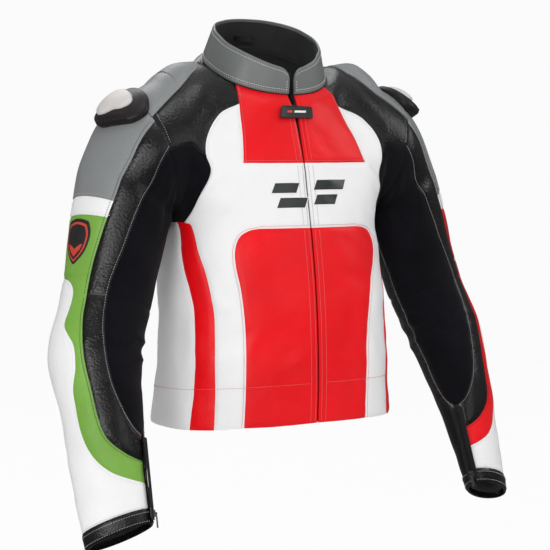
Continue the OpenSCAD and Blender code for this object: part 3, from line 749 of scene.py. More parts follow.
SLIT = 1.3                              # half the slit between the two front halves
FRONT_LOW, BELLY_TOP, YOKE_LOW = -499, -219.5, -127.0       # heights at the front
SIDE_TOP, CHAIN_Z, WAIST_Z = -212.0, -118.0, -300.0         # heights at the side and on the back
WHITE_CUTS = (-504.5, -208.0, -124.0)   # heights between which the white front panel is made
GUSSET_TOP = 1.0                        # angle on the armhole where leather meets stretch cloth
PATCH_FRONT, PATCH_BACK = 55, 125       # angles on the armhole between which the patch starts
BACK_EDGE = 52.0                        # angle on the torso where side meets back
FLIP = np.array([-1, 1, 1])
# x and z, from the hem up to the corner at the top
BELLY = {
    "left": [(88, -500.5), (89, -440), (95, -360), (107, -305), (121, -268), (126, -247), (118, -229),
             (100, -221.5), (84, BELLY_TOP)],
    "right": [(111, -500.5), (109, -440), (108, -361), (111, -305), (115, -272), (114, -248), (106, -230),
              (93, -222), (80, BELLY_TOP)],
}
# x and z, from the corner of the yoke up to the neck rim
YOKE = {
    "left": [(115, YOKE_LOW), (100, -86), (86, -44)],
    "right": [(94, YOKE_LOW), (88, -84), (82, -42)],
}
# x and z, from the top of the yoke down to the side
CHEST = {
    "left": [(86, -44), (126, -62), (149, -92), (153, -118), (150, -140), (156, -180), (161, SIDE_TOP)],
    "right": [(82, -42), (114, -57), (138, -86), (145, -112), (139, -136), (152, -176), (160, SIDE_TOP)],
}
# height and angle, from the hem up
STRIPE_IN = [(-504, -40), (-401, -37), (-332, -36), (-290, -32), (-249, -26), (SIDE_TOP, -21)]
STRIPE_OUT = [(-506, -24), (-353, -22), (-318, -20), (-275, -14), (SIDE_TOP, -10)]
# x and z on the back, from the neck out to the side
BACK_CHAIN = [(100, -40), (130, -80), (146, CHAIN_Z)]


def torso_line(t, z):
    """Line on the torso through angles t and heights z."""
    t, z = np.broadcast_arrays(t, z)
    return onto_torso(np.concatenate([torso_at(a, b) for a, b in zip(t, z)]))


def side_line(rows):
    """Line on the torso from (height, angle) rows."""
    q = outline(rows)
    return torso_line(q[:, 1], q[:, 0])


def hem_line(start, end, rise, n):
    """Line between two angles that runs so far above the hem."""
    t = np.linspace(start, end, n)
    return torso_line(t, hem_z(t) + rise)


def straight(a, b, n=60):
    return a + (b - a) * np.linspace(0, 1, n)[:, None]


def level_line(x0, x1, z):
    """Line across the front at one height."""
    return facing(np.stack([np.linspace(x0, x1, 60), np.full(60, z)], 1), -1)


def upright_line(x, low, high, n):
    """Line up the front at one x."""
    return facing(np.stack([np.full(n, x), np.linspace(low, high, n)], 1), -1)


class Half:
    """Seam lines of one half of the torso, drawn on the left."""

    def __init__(self, side):
        self.belly = front(BELLY[side])
        self.chest = front(CHEST[side])
        self.stripe_in = side_line(STRIPE_IN)
        self.stripe_in[-1] = self.chest[-1]
        self.stripe_out = side_line(STRIPE_OUT)
        self.back_edge = torso_line(BACK_EDGE, np.linspace(hem_z(BACK_EDGE), CHAIN_Z, 140))
        yoke_top = self.chest[0]
        self.yoke = front(YOKE[side])
        self.yoke[-1] = yoke_top
        neck = neck_at(np.linspace(-38, 45, 80))
        self.neck_side = neck
        self.yoke_up = outline([yoke_top, (yoke_top + neck[0]) / 2, neck[0]], 40)
        self.back_chain = facing(outline(BACK_CHAIN, 80), 1)
        self.back_chain[-1] = self.back_edge[-1]
        self.back_chain = np.concatenate([neck[-1:], self.back_chain])
        self.middle = upright_line(SLIT, FRONT_LOW, BELLY_TOP, 100)
        self.middle_chest = upright_line(SLIT, BELLY_TOP, YOKE_LOW, 100)
        self.chest_low = cut(self.chest, 2, SIDE_TOP, CHAIN_Z)
        self.chest_high = cut(self.chest, 2, CHAIN_Z, CHEST[side][0][1] - 0.1)
        self.chest_high[-1] = yoke_top


HALF = {side: Half(side) for side in SIDES}


def front_pieces(side, sign):
    """Torso panels of one half, from the zip round to the back's edge. Returns their grids."""
    h = HALF[side]
    across = level_line(SLIT, h.yoke[0, 0], YOKE_LOW)
    belly_row = level_line(SLIT, h.belly[-1, 0], BELLY_TOP)
    column = straight(h.belly[-1], h.yoke[0])
    outer = np.concatenate([h.stripe_in, h.chest_low[1:], h.chest_high[1:]])
    outers = [cut(outer, 2, *ends) for ends in zip(WHITE_CUTS, WHITE_CUTS[1:] + (outer[-1, 2],))]
    narrow, wide = spaced(62), spaced(95)
    white = [
        patch(h.belly, outers[0], cols=narrow, rows=spaced(320)),
        patch(column, outers[1], cols=narrow, rows=wide),
        patch(h.middle_chest, column, low=belly_row, high=across, cols=wide, rows=wide),
        patch(h.yoke, outers[2], cols=narrow, rows=wide),
    ]
    neck_front = neck_at(np.linspace(-86.3, -38, 60))
    middle_yoke = outline([h.middle_chest[-1], (h.middle_chest[-1] * 0.35 + neck_front[0] * 0.65)
                           + np.array([-1.6, -1.5, 0]), neck_front[0]], 80)
    yoke_side = np.concatenate([h.yoke, h.yoke_up[1:]])
    yoke = [patch(middle_yoke, yoke_side, low=across, high=neck_front, cols=wide, rows=spaced(105))]
    belly = [patch(h.middle, h.belly, high=belly_row, cols=spaced(100), rows=spaced(300))]
    stripe = [patch(h.stripe_in, h.stripe_out, cols=spaced(28), rows=spaced(300))]
    side_edge = cut(h.back_edge, 2, h.back_edge[0, 2], SIDE_TOP)
    panel = [patch(h.stripe_out, side_edge, cols=spaced(130), rows=spaced(300))]
    shoulder = [
        patch(armhole(GUSSET_TOP, 42), h.chest_high, rows=spaced(75), cols=narrow),
        patch(armhole(42, PATCH_FRONT), h.yoke_up, rows=spaced(30), cols=narrow),
        patch(armhole(PATCH_FRONT, PATCH_BACK), h.neck_side, rows=spaced(110), cols=narrow),
        patch(armhole(PATCH_BACK, 183), h.back_chain, rows=wide, cols=narrow),
    ]
    top = torso_line(np.linspace(-10, BACK_EDGE, 60), SIDE_TOP)
    top = np.concatenate([straight(h.chest[-1], top[0], 12), top[1:]])
    upper_edge = cut(h.back_edge, 2, SIDE_TOP, CHAIN_Z)
    gusset = [
        patch(armhole(GUSSET_TOP, -50), h.chest_low[::-1], rows=spaced(90), cols=spaced(30)),
        patch(armhole(-50, -130), top, rows=spaced(120), cols=spaced(30)),
        patch(armhole(-130, -177), upper_edge, rows=spaced(90), cols=spaced(30)),
    ]
    pieces = {
        "front_panel": (white, "white_leather"), "front_yoke": (yoke, "red_leather"),
        "belly_panel": (belly, "red_leather"), "side_stripe": (stripe, "red_leather"),
        "side_panel": (panel, "white_leather"), "shoulder_panel": (shoulder, "black_leather"),
        "underarm_gusset": (gusset, "stretch_cloth"),
    }
    for name, (grids, material) in pieces.items():
        relief = gusset_relief if name == "underarm_gusset" else torso_relief
        obj = shell(name + "_" + side, grids, place_torso, relief, material, sign, level=on_armhole)
        node_name = "side_stripes" if name == "side_stripe" else name + "_" + side
        finish_piece(obj, "torso", material, node_name)
    stitch_front(sign, h, outer, across, belly_row, side_edge, middle_yoke, yoke_side, neck_front)
    return [g for grids, _ in pieces.values() for g in grids]


def gusset_relief(q, p):
    """Folds of the stretch cloth, spread from the armhole like a fan."""
    around = np.degrees(np.arctan2(q[:, 2] - ARMHOLE[2], -q[:, 1]))
    deep = 1 - ease((np.hypot(q[:, 1], q[:, 2] - ARMHOLE[2]) - ARMHOLE_R) / 60)
    return torso_relief(q, p) + 2.4 * np.sin(around / 5.5 + 1.5 * ripple(p, 40, 21)) * deep * rim_calm(p)


def torso_row(material, line, toward, **more):
    seam_stitches("torso", material, line, toward, place_torso, torso_relief, **more)


ON_FACE = {"inset": 0.1, "drop": 0.0}    # a row that runs on the leather's face, away from its seams
HEM_ROW, HEM_PITCH = 58, 4.2             # height of the hem's stitches above it, and their spacing


def stitch_front(sign, h, outer, across, belly_row, side_edge, middle_yoke, yoke_side, neck_front):
    row = partial(torso_row, sign=sign)
    row("thread_red", h.belly, cut(outer, 2, *WHITE_CUTS[:2]))
    row("thread_red", belly_row, across, end=0.99)
    row("thread_white", h.stripe_in, h.belly)
    row("thread_white", h.stripe_out, side_edge)
    row("thread_white", h.yoke, h.chest_high[::-1], end=0.93)
    row("thread_white", h.chest, h.yoke[::-1], start=0.04)
    row("thread_red", across, neck_front)
    row("thread_red", yoke_side, middle_yoke)
    row("thread_grey", side_edge, h.stripe_out)
    beside_zip = [(-496, -223, "thread_red"), (-216, -131, "thread_grey"), (-123, -52, "thread_red")]
    for x in (5.0, 12.5):
        for low, high, tone in beside_zip:
            line = upright_line(x, low, high, 60)
            row(tone, line, line + [9, 0, 0], **ON_FACE)
    hem = hem_line(-88, 89, HEM_ROW, 160)
    row("thread_red", hem, hem + [0, 0, 9], pitch=HEM_PITCH, **ON_FACE)


def back_row(z, end, fall, power=1.0):
    """Seam across the back, from a point to its mirror image. It runs at height z and falls in the middle."""
    low = torso_line(np.linspace(BACK_EDGE, 180 - BACK_EDGE, 120), z)
    low[0], low[-1] = end, end * FLIP
    low[:, 2] -= fall * np.sin(np.linspace(0, math.pi, 120)) ** power
    return low


def back_pieces():
    """Yoke and two panels of the back, with their seams. Returns their grids."""
    left = HALF["left"]
    chain = left.back_chain[::-1]
    edge_high = cut(left.back_edge, 2, WAIST_Z, CHAIN_Z)
    edge_low = cut(left.back_edge, 2, left.back_edge[0, 2], WAIST_Z)
    neck = neck_at(np.linspace(45, 135, 80))
    seam = back_row(CHAIN_Z, chain[0], 8)
    waist = back_row(WAIST_Z, edge_high[0], 26, 0.7)
    hem = hem_line(BACK_EDGE, 180 - BACK_EDGE, 0, 120)
    pieces = [("back_yoke", "black_leather", chain, seam, neck, 170, 280),
              ("back_panel", "red_leather", edge_high, waist, seam, 180, 230),
              ("back_lower_panel", "white_leather", edge_low, hem, waist, 220, 230)]
    grids = []
    for name, material, edge, low, high, tall, wide in pieces:
        grids.append(patch(edge, edge * FLIP, low=low, high=high, rows=spaced(tall), cols=spaced(wide)))
        obj = shell(name, grids[-1:], place_torso, torso_relief, material)
        finish_piece(obj, "torso", material, name)
    torso_row("thread_grey", seam, neck)
    torso_row("thread_red", seam, waist)
    torso_row("thread_white", waist, hem)
    for edge, tone in ((edge_high, "thread_red"), (edge_low, "thread_grey")):
        torso_row(tone, edge, edge * FLIP)
        torso_row(tone, edge * FLIP, edge)
    torso_row("thread_red", hem + [0, 0, HEM_ROW], hem + [0, 0, HEM_ROW + 12], pitch=HEM_PITCH, **ON_FACE)
    return grids


# ---------------------------------------------------------------- sleeves

# positions along the sleeve
SPLIT_IN, SPLIT_OUT = 232.0, 204.0      # where the shoulder's pieces hand over to the elbow's
SEAM_S = 18.0                           # the armhole seam
BAND_TOP, BAND_LOW, CUFF_S = 104.0, 125.0, 533.0
ZIP_A, ZIP_FRONT, ZIP_BACK = -13.0, -19.0, -7.0         # angles of the cuff zip and its two edges
# seams as position and angle, from the armhole down
STRIP_FRONT = [(SEAM_S, -35), (40, -47), (70, -56), (106, -63), (150, -71), (214, -81), (254, -80),
               (305, -72), (367, -65), (402, -52), (422, -36), (431, ZIP_FRONT)]
STRIP_BACK = [(SEAM_S, -66), (34, -77), (56, -85), (98, -92), (151, -103), (188, -108), (253, -108),
              (298, -101), (349, -98), (402, -94), (434, -84), (454, -62), (464, -40), (468, ZIP_FRONT)]
BAND_BACK = [(SPLIT_OUT, -181), (207, -160), (214, -141), (228, -131), (250, -131), (274, -132), (291, -121),
             (306, -112), (334, -112), (369, -124), (417, -122), (455, -108), (478, -84), (492, -50),
             (498, ZIP_FRONT)]
STRETCH_BACK = [(SEAM_S, 20), (200, 20), (340, 20), (390, 18), (418, 6), (431, ZIP_BACK)]


def run(a, start, end):
    """Line along the sleeve at one angle."""
    return np.stack([np.linspace(start, end, 80), np.full(80, float(a))], 1)


def hoop(s, start, end, n=60):
    """Line round the sleeve at one position."""
    return np.stack([np.full(n, s), np.linspace(start, end, n)], 1)


def part(line, top, low=None):
    """The stretch of a seam between two positions, or from one down to its end."""
    return cut(line, 0, top, line[-1, 0] if low is None else low)


def arm_row(sign, key, material, line, toward, **more):
    seam_stitches(key, material, line, toward, place_arm, arm_relief, sign=sign, **more)


def sleeve_pieces(side, sign):
    """One sleeve: leather and stretch cloth above and below the elbow, seams, lining, cuff and shield."""
    strip_front, strip_back, band, inner = (outline(rows, 240) for rows in
                                            (STRIP_FRONT, STRIP_BACK, BAND_BACK, STRETCH_BACK))
    bands = np.concatenate([band, run(ZIP_FRONT, band[-1, 0], CUFF_S)[1:]])
    unders = np.concatenate([part(inner, SPLIT_IN), run(ZIP_BACK, inner[-1, 0], CUFF_S)[1:]])
    colour = {"left": "red_leather", "right": "green_leather"}[side]
    shoulder, elbow = "shoulder_" + side, "elbow_" + side
    upper = [part(line, SEAM_S, SPLIT_IN) for line in (strip_back, strip_front, inner)]
    lower = [part(line, SPLIT_IN) for line in (strip_back, strip_front, inner)]
    # name, ride, material, the two seams beside it, and the CAD nodes that it stands for
    pieces = [
        ("sleeve_head", shoulder, "grey_leather", run(-180, SEAM_S, BAND_TOP),
         part(strip_back, SEAM_S, BAND_TOP), ["sleeve_head"]),
        ("sleeve_band", shoulder, "white_leather", run(-180, BAND_TOP, BAND_LOW),
         part(strip_back, BAND_TOP, BAND_LOW), ["arm_panel"]),
        ("arm_panel", shoulder, colour, run(-180, BAND_LOW, SPLIT_OUT),
         part(strip_back, BAND_LOW, SPLIT_OUT), ["arm_panel"]),
        ("forearm_band", elbow, colour, band, part(strip_back, SPLIT_OUT), ["forearm_band"]),
        ("arm_strip_upper", shoulder, "black_leather", upper[0], upper[1], ["arm_strip"]),
        ("arm_strip_lower", elbow, "black_leather", lower[0], lower[1], ["arm_strip"]),
        ("arm_stretch_upper", shoulder, "stretch_cloth", upper[1], upper[2], ["arm_stretch"]),
        ("arm_stretch_lower", elbow, "stretch_cloth", lower[1], lower[2], ["forearm_stretch", "arm_stretch"]),
        ("under_sleeve_upper", shoulder, "black_leather", upper[2], run(180, SEAM_S, SPLIT_IN), ["arm_back"]),
        ("under_sleeve_lower", elbow, "black_leather", unders, run(180, SPLIT_IN, CUFF_S),
         ["forearm_back", "arm_back"]),
        ("forearm_panel", elbow, "white_leather", run(-180, SPLIT_OUT, CUFF_S), bands, ["forearm_panel"]),
    ]
    for name, key, material, first, second, nodes in pieces:
        obj = shell(name + "_" + side, [patch(first, second)], place_arm, arm_relief, material, sign,
                    seam=0.9 if "stretch" in name else 1.2)
        finish_piece(obj, key, material, *[n + "_" + side for n in nodes])
    row = partial(arm_row, sign)
    sleeve_cap(side, sign, row)
    for key, (back_line, front_line, inner_line), start in ((shoulder, upper, 0.3), (elbow, lower, 0)):
        row(key, "thread_grey", front_line, back_line, inset=2.6)
        row(key, "thread_black", back_line, back_line - [0, 20], inset=2.8, start=0.02)
        row(key, "thread_grey", inner_line, inner_line + [0, 20], inset=3.0, start=start)
    row(elbow, "thread_white", band, band + [8, -30], inset=3.0, start=0.06)
    row(elbow, "thread_white", run(-180, SPLIT_OUT + 6, CUFF_S), run(-150, SPLIT_OUT + 6, CUFF_S))
    for key, tone, line in ((shoulder, "thread_grey", hoop(BAND_TOP, -179, -94)),
                            (shoulder, "thread_white", hoop(BAND_LOW, -179, -94)),
                            (elbow, "thread_white", hoop(CUFF_S, -178, ZIP_FRONT - 1, 120))):
        row(key, tone, line, line - [20, 0], inset=3.0)
    for key, start, end in ((shoulder, 3, SPLIT_IN), (elbow, SPLIT_IN, SLEEVE_END - 8)):
        tube = patch(run(-180, start, end), run(180, start, end), cols=np.linspace(0, 1, 41),
                     rows=np.linspace(0, 1, 31))
        obj = shell("sleeve_lining_" + key, [tube], place_arm, arm_relief, "lining_cloth", sign, lift=-5.0,
                    thick=0.8, seam=0)
        finish_piece(obj, key, "stretch_cloth", "elbow_gusset_" + side)
    cuff_pieces(side, sign, row)
    shield(side, sign)


def sleeve_cap(side, sign, row):
    """Ring between the armhole rim and the armhole seam: the torso's panels go on over the sleeve."""
    key = "shoulder_" + side
    # angles at the armhole and at the seam where one piece meets the next
    marks = [(-GUSSET_TOP, -35), (-57, -71), (-125, -130), (-177, -180)]
    names = [("shoulder_panel_end", "black_leather", 0), ("shoulder_patch_end", "grey_leather", PATCH_LIFT),
             ("shoulder_panel_back", "black_leather", 0), ("underarm_end", "stretch_cloth", 0)]
    down = np.linspace(0, 1, 40)
    seams = [np.stack([SEAM_S * down, a + (b - a) * down], 1) for a, b in marks]
    seams.append(seams[0] + np.array([0, -360]))
    for (name, material, lift), first, second in zip(names, seams, seams[1:]):
        obj = shell(name + "_" + side, [patch(first, second, rows=spaced(30, 3))], place_arm,
                    padding(side) if lift else arm_relief, material, sign, lift=lift, thick=LEATHER + lift,
                    level=on_armhole)
        finish_piece(obj, key, material)
    for start, end, drop in ((-37, -70, 0.5), (-73, -129, -1.2), (-131, -179, 0.5)):
        line = hoop(SEAM_S, start, end)
        row(key, "thread_grey", line, line - [12, 0], inset=2.6, drop=drop)


def cuff_pieces(side, sign, row):
    """Cuff band, and the zip that runs straight along the inside of the wrist."""
    start, end = ZIP_FRONT - 2, ZIP_BACK + 2 - 360
    forearm = "forearm_" + side
    ring = patch(hoop(CUFF_S - 1, start, end), hoop(SLEEVE_END, start, end), rows=np.linspace(0, 1, 61),
                 cols=spaced(20, 3))
    obj = shell("cuff_" + side, [ring], place_arm, None, "black_leather", sign, lift=1.6, thick=3.6, seam=1.4,
                seam_w=3.5)
    finish_piece(obj, forearm, "black_leather", "cuff_" + side)
    for s in (CUFF_S + 4, SLEEVE_END - 4):
        line = hoop(s, start - 2, end + 2, 100)
        row(forearm, "thread_grey", line, line + [4, 0], inset=0.1, drop=-1.5)
    lift, tooth = 3.4, 2.4
    s = np.array([436.0, 490.0, 548.0])                 # the zip's top, middle and end
    p = arm_at(s, np.full(3, ZIP_A))
    out = p - arm_middle(s)
    top, bottom = (p + lift * unit(out))[[0, 2]]
    ey = unit(bottom - top)
    ez = unit(out[1] - ey * (out[1] @ ey))
    ex = np.cross(ey, ez)
    length = np.linalg.norm(bottom - top)

    def at(x, y, z):
        return top + x * ex + y * ey + z * ez
    points, faces = [], []
    for s in (-1, 1):
        grid = np.array([[at(x * s, y, 0.4 - 0.05 * x) for x in (2.2, 4, 6, 8.2)]
                         for y in np.linspace(0, length, 30)])
        slab(points, faces, grid, -ez * 0.8)
    for k in range(int(length / tooth)):
        for s in (-1, 1):
            y = tooth * (k + 0.5 + s / 4)
            box(points, faces, at(1.35 * s, min(y, length - 1), 0), ex * 0.85, ey * 0.62, ez * 1.0)
    obj = mesh_object("cuff_zip_" + side, np.array(points) * [sign, 1, 1], turn(faces, sign), "zip_tape",
                      uv=np.array([(p @ ex, p @ ey) for p in points]))
    finish_piece(obj, forearm, "zip_tape", "cuff_zip_" + side)


def turn(faces, sign):
    """Faces of the left, turned over where the points were mirrored."""
    return faces if sign > 0 else [f[::-1] for f in faces]


def slab(points, faces, grid, down):
    """Adds a closed slab: a grid of points and its copy moved by down."""
    m, n = grid.shape[:2]
    top = grid.reshape(-1, 3)
    count = m * n
    ids = (np.arange(count).reshape(m, n) + len(points)).tolist()
    points.extend(top)
    points.extend(top + down)
    local = [[ids[i][j], ids[i + 1][j], ids[i + 1][j + 1], ids[i][j + 1]]
             for i in range(m - 1) for j in range(n - 1)]
    a, b, c = (points[i] for i in local[0][:3])
    if np.cross(b - a, c - a) @ down > 0:
        local = [f[::-1] for f in local]
    faces.extend(local)
    faces.extend([i + count for i in f[::-1]] for f in local)
    faces.extend([b, a, a + count, b + count] for a, b in rim_edges(local))


def box(points, faces, centre, ex, ey, ez):
    """Adds a box with half axes ex, ey and ez."""
    k = len(points)
    for x in (-1, 1):
        for y in (-1, 1):
            for z in (-1, 1):
                points.append(centre + x * ex + y * ey + z * ez)
    quads = [(0, 1, 3, 2), (4, 6, 7, 5), (0, 4, 5, 1), (2, 3, 7, 6), (0, 2, 6, 4), (1, 5, 7, 3)]
    flip = np.cross(ex, ey) @ ez < 0
    faces.extend([[k + i for i in (q[::-1] if flip else q)] for q in quads])


def shield(side, sign):
    """Plain shield patch on the upper arm: a black field, a red line and a red chevron."""
    middle, height = 160.5, 55.0            # along the sleeve
    turn_at, half = -138.0, 21.0            # its middle and half width as angles round the sleeve
    # share of the height, share of the half width
    widths = [[0, 0.86], [0.12, 1], [0.5, 0.94], [0.75, 0.66], [0.9, 0.34], [1, 0.06]]

    def field(scale, lift, name, material, low=0.0, high=1.0, point=0.0):
        """Shield of that scale between two shares of its height, whose ends come to a point."""
        v, x = np.linspace(low, high, 60), np.linspace(-1, 1, 60)
        w = table(widths, v)[:, 0] * half * scale
        s = middle + (v - 0.5) * height * scale
        a, b = np.stack([s, turn_at - w], 1), np.stack([s, turn_at + w], 1)
        peak = point * (1 - abs(x))
        top = hoop(0, a[0, 1], b[0, 1])
        top[:, 0] = s[0] - ((1 - x ** 2) * 3 - peak)
        end = hoop(0, a[-1, 1], b[-1, 1])
        end[:, 0] = s[-1] + peak
        grid = patch(a, b, low=top, high=end if point else None, rows=spaced(height * scale, 3),
                     cols=spaced(2 * half * scale, 3))
        obj = shell(name + "_" + side, [grid], place_arm, arm_relief, material, sign, lift=lift, thick=1.0,
                    seam=0.25, seam_w=1.2)
        finish_piece(obj, "shoulder_" + side, "badge_rubber")
    field(1.0, 0.9, "shield_field", "badge_rubber")
    field(0.86, 1.2, "shield_line", "badge_red")
    field(0.76, 1.5, "shield_middle", "badge_rubber")
    field(0.62, 1.8, "shield_chevron", "badge_red", 0.5, 0.72, 10.0)


# ---------------------------------------------------------------- shoulder cups and patches

CUP_STEPS = 96                                 # points round a cup
PATCH_LIFT, PATCH_RISE = 1.9, 9.0              # the patch's edges and its middle above the leather
CUP_AXES = {"right": np.array([0.62, -0.12, 0.775]), "left": np.array([0.54, -0.03, 0.841])}
CUP_SIZE = {"right": 1.0, "left": 0.86}
CUP_LIFT = {"right": 0.0, "left": 9.0}         # the photo shows the left shoulder's padding higher
CUP_Y = np.array([0.196, 0.981, 0.0])          # direction of azimuth 90
# azimuth (0 down the sleeve, 90 back, -90 front) and angle from the middle to the rim
SURROUND_RIM = [[-180, 21], [-150, 22], [-112, 29], [-86, 35], [-62, 33], [-40, 28], [-20, 26], [10, 27],
                [50, 28], [90, 30], [130, 27], [160, 22.5], [180, 21]]
CUP_RIM = [[-180, 12], [-145, 11.5], [-110, 15], [-85, 19], [-60, 17.5], [-30, 14], [0, 16], [35, 20],
           [80, 23.5], [120, 21], [150, 15], [180, 12]]


def rim_angle(rows, az):
    wrapped = [[a - 360, v] for a, v in rows[:-1]] + rows + [[a + 360, v] for a, v in rows[1:]]
    return table(wrapped, az)[:, 0]


def cap(name, rim, profile, under, material, side, sign):
    """Cap turned about the cup's axis, with a shaped rim.

    profile rows: place between the middle (0) and the rim (1), and distance from PIVOT. under is the
    distance of its underside.
    """
    axis, lift = CUP_AXES[side], CUP_LIFT[side]
    east = np.cross(CUP_Y, axis)
    n = CUP_STEPS
    az = np.arange(n) * 360.0 / n
    edge = rim_angle(rim, (az + 180) % 360 - 180) * CUP_SIZE[side]
    top = table(profile, np.linspace(0, 1, 14))[:, 0]
    rings = [(k, r) for k, r in zip(np.linspace(0, 1, 14) ** 0.8, top)]
    low = profile[-1][1]
    rings += [(1.005, low - 0.8), (1.005, (low + under) / 2), (1.0, under), (0.6, under), (0, under)]
    points, faces = [], []
    for k, r in rings:
        t = np.radians(edge * k)[:, None]
        b = np.radians(az)[:, None]
        d = axis * np.cos(t) + (east * np.cos(b) + CUP_Y * np.sin(b)) * np.sin(t)
        if k == 0:
            points.append(PIVOT + axis * (r + lift))
        else:
            points.extend(PIVOT + d * (r + lift))
    starts = [1 + i * n for i in range(len(rings) - 2)]
    last = len(points) - 1
    for j in range(n):
        k = (j + 1) % n
        faces.append([0, 1 + j, 1 + k])
        faces += [[s + j, s + n + j, s + n + k, s + k] for s in starts[:-1]]
        faces.append([last, starts[-1] + k, starts[-1] + j])
    return mesh_object(name, np.array(points) * [sign, 1, 1], turn(faces, sign), material, sharp=60)


CUPS = [
    ("shoulder_cup_base_", "cup_surround", SURROUND_RIM, 88.5,
     [[0, 100], [0.5, 100], [0.78, 100], [0.86, 99.2], [0.92, 99.6], [0.97, 98.4], [1, 95.6]]),
    ("shoulder_cup_", "cup_plastic", CUP_RIM, 98.0,
     [[0, 106.4], [0.4, 106.1], [0.7, 105.2], [0.88, 103.9], [0.96, 102.8], [1, 101.0]]),
]
# the patch's edges, as rough points of the torso
PATCH_EDGES = [
    [(165, -48, -22), (157, -45, -15), (148, -41, -8), (139, -35, -1)],
    [(139, -35, -1), (129, -30, 4), (120, -20, 9), (115, -4, 14), (117, 13, 15), (127, 30, 10), (139, 42, 0)],
    [(165, 50, -24), (157, 50, -18), (148, 46, -10), (139, 42, 0)],
]


def cup_pieces(side, sign):
    """Cup and its surround, and the grey leather patch under them."""
    for name, material, rim, under, profile in CUPS:
        obj = cap(name + side, rim, profile, under, material, side, sign)
        finish_piece(obj, "torso", material, name + side)
    front_edge, end, back_edge = (onto_torso(outline(points, 60)) for points in PATCH_EDGES)
    start = armhole(PATCH_FRONT + 2, PATCH_BACK, 60)
    front_edge[0], back_edge[0] = start[0], start[-1]
    end[0], end[-1] = front_edge[-1], back_edge[-1]
    grid = patch(front_edge, back_edge, low=start, high=end, rows=spaced(50, 4), cols=spaced(95, 4))
    obj = shell("shoulder_patch_" + side, [grid], place_torso, padding(side), "grey_leather", sign,
                lift=PATCH_LIFT, thick=3.4, seam=1.2, seam_w=4, level=on_armhole)
    finish_piece(obj, "torso", "grey_leather", "shoulder_patch_" + side)
    inside = end * 0.5 + (front_edge[0] + back_edge[0]) / 4
    for line, far in ((front_edge, back_edge), (end, inside), (back_edge, front_edge)):
        seam_stitches("torso", "thread_grey", line, far, place_torso, padding(side), sign=sign, drop=-1.3)


def padding(side):
    """Relief of the shoulder patch: highest at the armhole, and gone at its edges and its tip."""
    def relief(q, p):
        x, y = np.abs(p[:, 0]), p[:, 1]
        half = table([[113, 20], [139, 38], [165, 48], [205, 50]], np.clip(x, 113, 205))[:, 0]
        across = np.maximum(0, 1 - ((y - 4) / half) ** 2) ** 0.8
        length = ease((x - 114) / 36) * (1 - 0.9 * ease((x - 165) / 28))
        under = torso_relief if q.shape[1] == 3 else arm_relief
        return under(q, p) + (PATCH_RISE + CUP_LIFT[side]) * across * length
    return relief


# ---------------------------------------------------------------- collar

COLLAR_H, COLLAR_GAP = 46.0, 3.0        # height, and half its opening at the front in degrees
COLLAR_DIP = 9                          # how much lower it is at the front and at the back
COLLAR_CORNER = 15.0                    # radius of its two corners
COLLAR_THREAD = {"pitch": 3.4, "length": 2.4, "radius": 0.38}


def collar_dips(a):
    """How much lower the collar is at the front and at the back."""
    return COLLAR_DIP * np.maximum(0, -np.sin(a)) ** 6, COLLAR_DIP * np.maximum(0, np.sin(a)) ** 2


def collar_point(phi, v, inward=0.0):
    """Point of the collar: v runs from its base to its top edge."""
    a = np.radians(phi)
    v, inward = (np.broadcast_to(x, a.shape)[:, None] for x in (v, inward))
    from_end = (180 - COLLAR_GAP - np.abs(phi - 90)) * 1.5
    dip, rear = collar_dips(a)
    cut_in = np.maximum(0, COLLAR_CORNER - from_end)
    corner = COLLAR_CORNER - np.sqrt(np.maximum(0, COLLAR_CORNER ** 2 - cut_in ** 2))
    lean = np.stack([-14 * np.cos(a), -8 * np.sin(a) - 8 - 0.9 * rear, COLLAR_H - dip - rear - corner], -1)
    flat = np.stack([-np.cos(a), -np.sin(a), 0 * a], -1)
    flare = np.maximum(0, 1 - from_end / 30)[:, None] * np.array([0, -2.0, 0]) * v
    return neck_at(phi) + flat * inward + np.array([0, 0, 1.0]) + lean * v + flare


def collar_relief(phi, v):
    a = np.radians(phi)
    return 0.7 * np.sin(3 * a + 1) + 0.5 * np.sin(7 * a + 2.5 * v) + 0.5 * np.sin(13 * a + 1) * v


def collar_shell(name, inset, wall, top_drop, start, material):
    """Closed wall: up the outside, over a rounded top edge and down the inside."""
    phi = np.linspace(-90 + COLLAR_GAP, 270 - COLLAR_GAP, 181)
    phi = np.sort(np.r_[phi, phi[0] + np.array([0.3, 1.2]), phi[-1] - np.array([0.3, 1.2])])
    top = 1 - top_drop / COLLAR_H
    r = wall / 2
    profile = [(v * top, inset) for v in (start, 0.02, 0.05, 0.1, 0.2, 0.35, 0.5, 0.65, 0.8, 0.9, 0.96)]
    profile += [(top + math.sin(t) * r / COLLAR_H, inset + r - r * math.cos(t))
                for t in np.linspace(0, math.pi, 7)]
    profile += [(v * top, inset + wall) for v in (0.96, 0.8, 0.5, 0.2, start)]
    seam = [0.7 if v == 0 and d == inset else 0 for v, d in profile]
    rows = [collar_point(phi, v, d + s - collar_relief(phi, v)) for (v, d), s in zip(profile, seam)]
    n, m = len(phi), len(profile)
    points = np.concatenate(rows)
    faces = []
    for i in range(m):
        a, b = i * n, (i + 1) % m * n
        faces += [[a + j, a + j + 1, b + j + 1, b + j] for j in range(n - 1)]
    faces.append([i * n for i in range(m)])
    faces.append([i * n + n - 1 for i in range(m)][::-1])
    obj = mesh_object(name, points, faces, material, uv=np.stack([np.tile(phi, m) * 1.6, points[:, 2]], 1))
    finish_piece(obj, "torso", material, name)


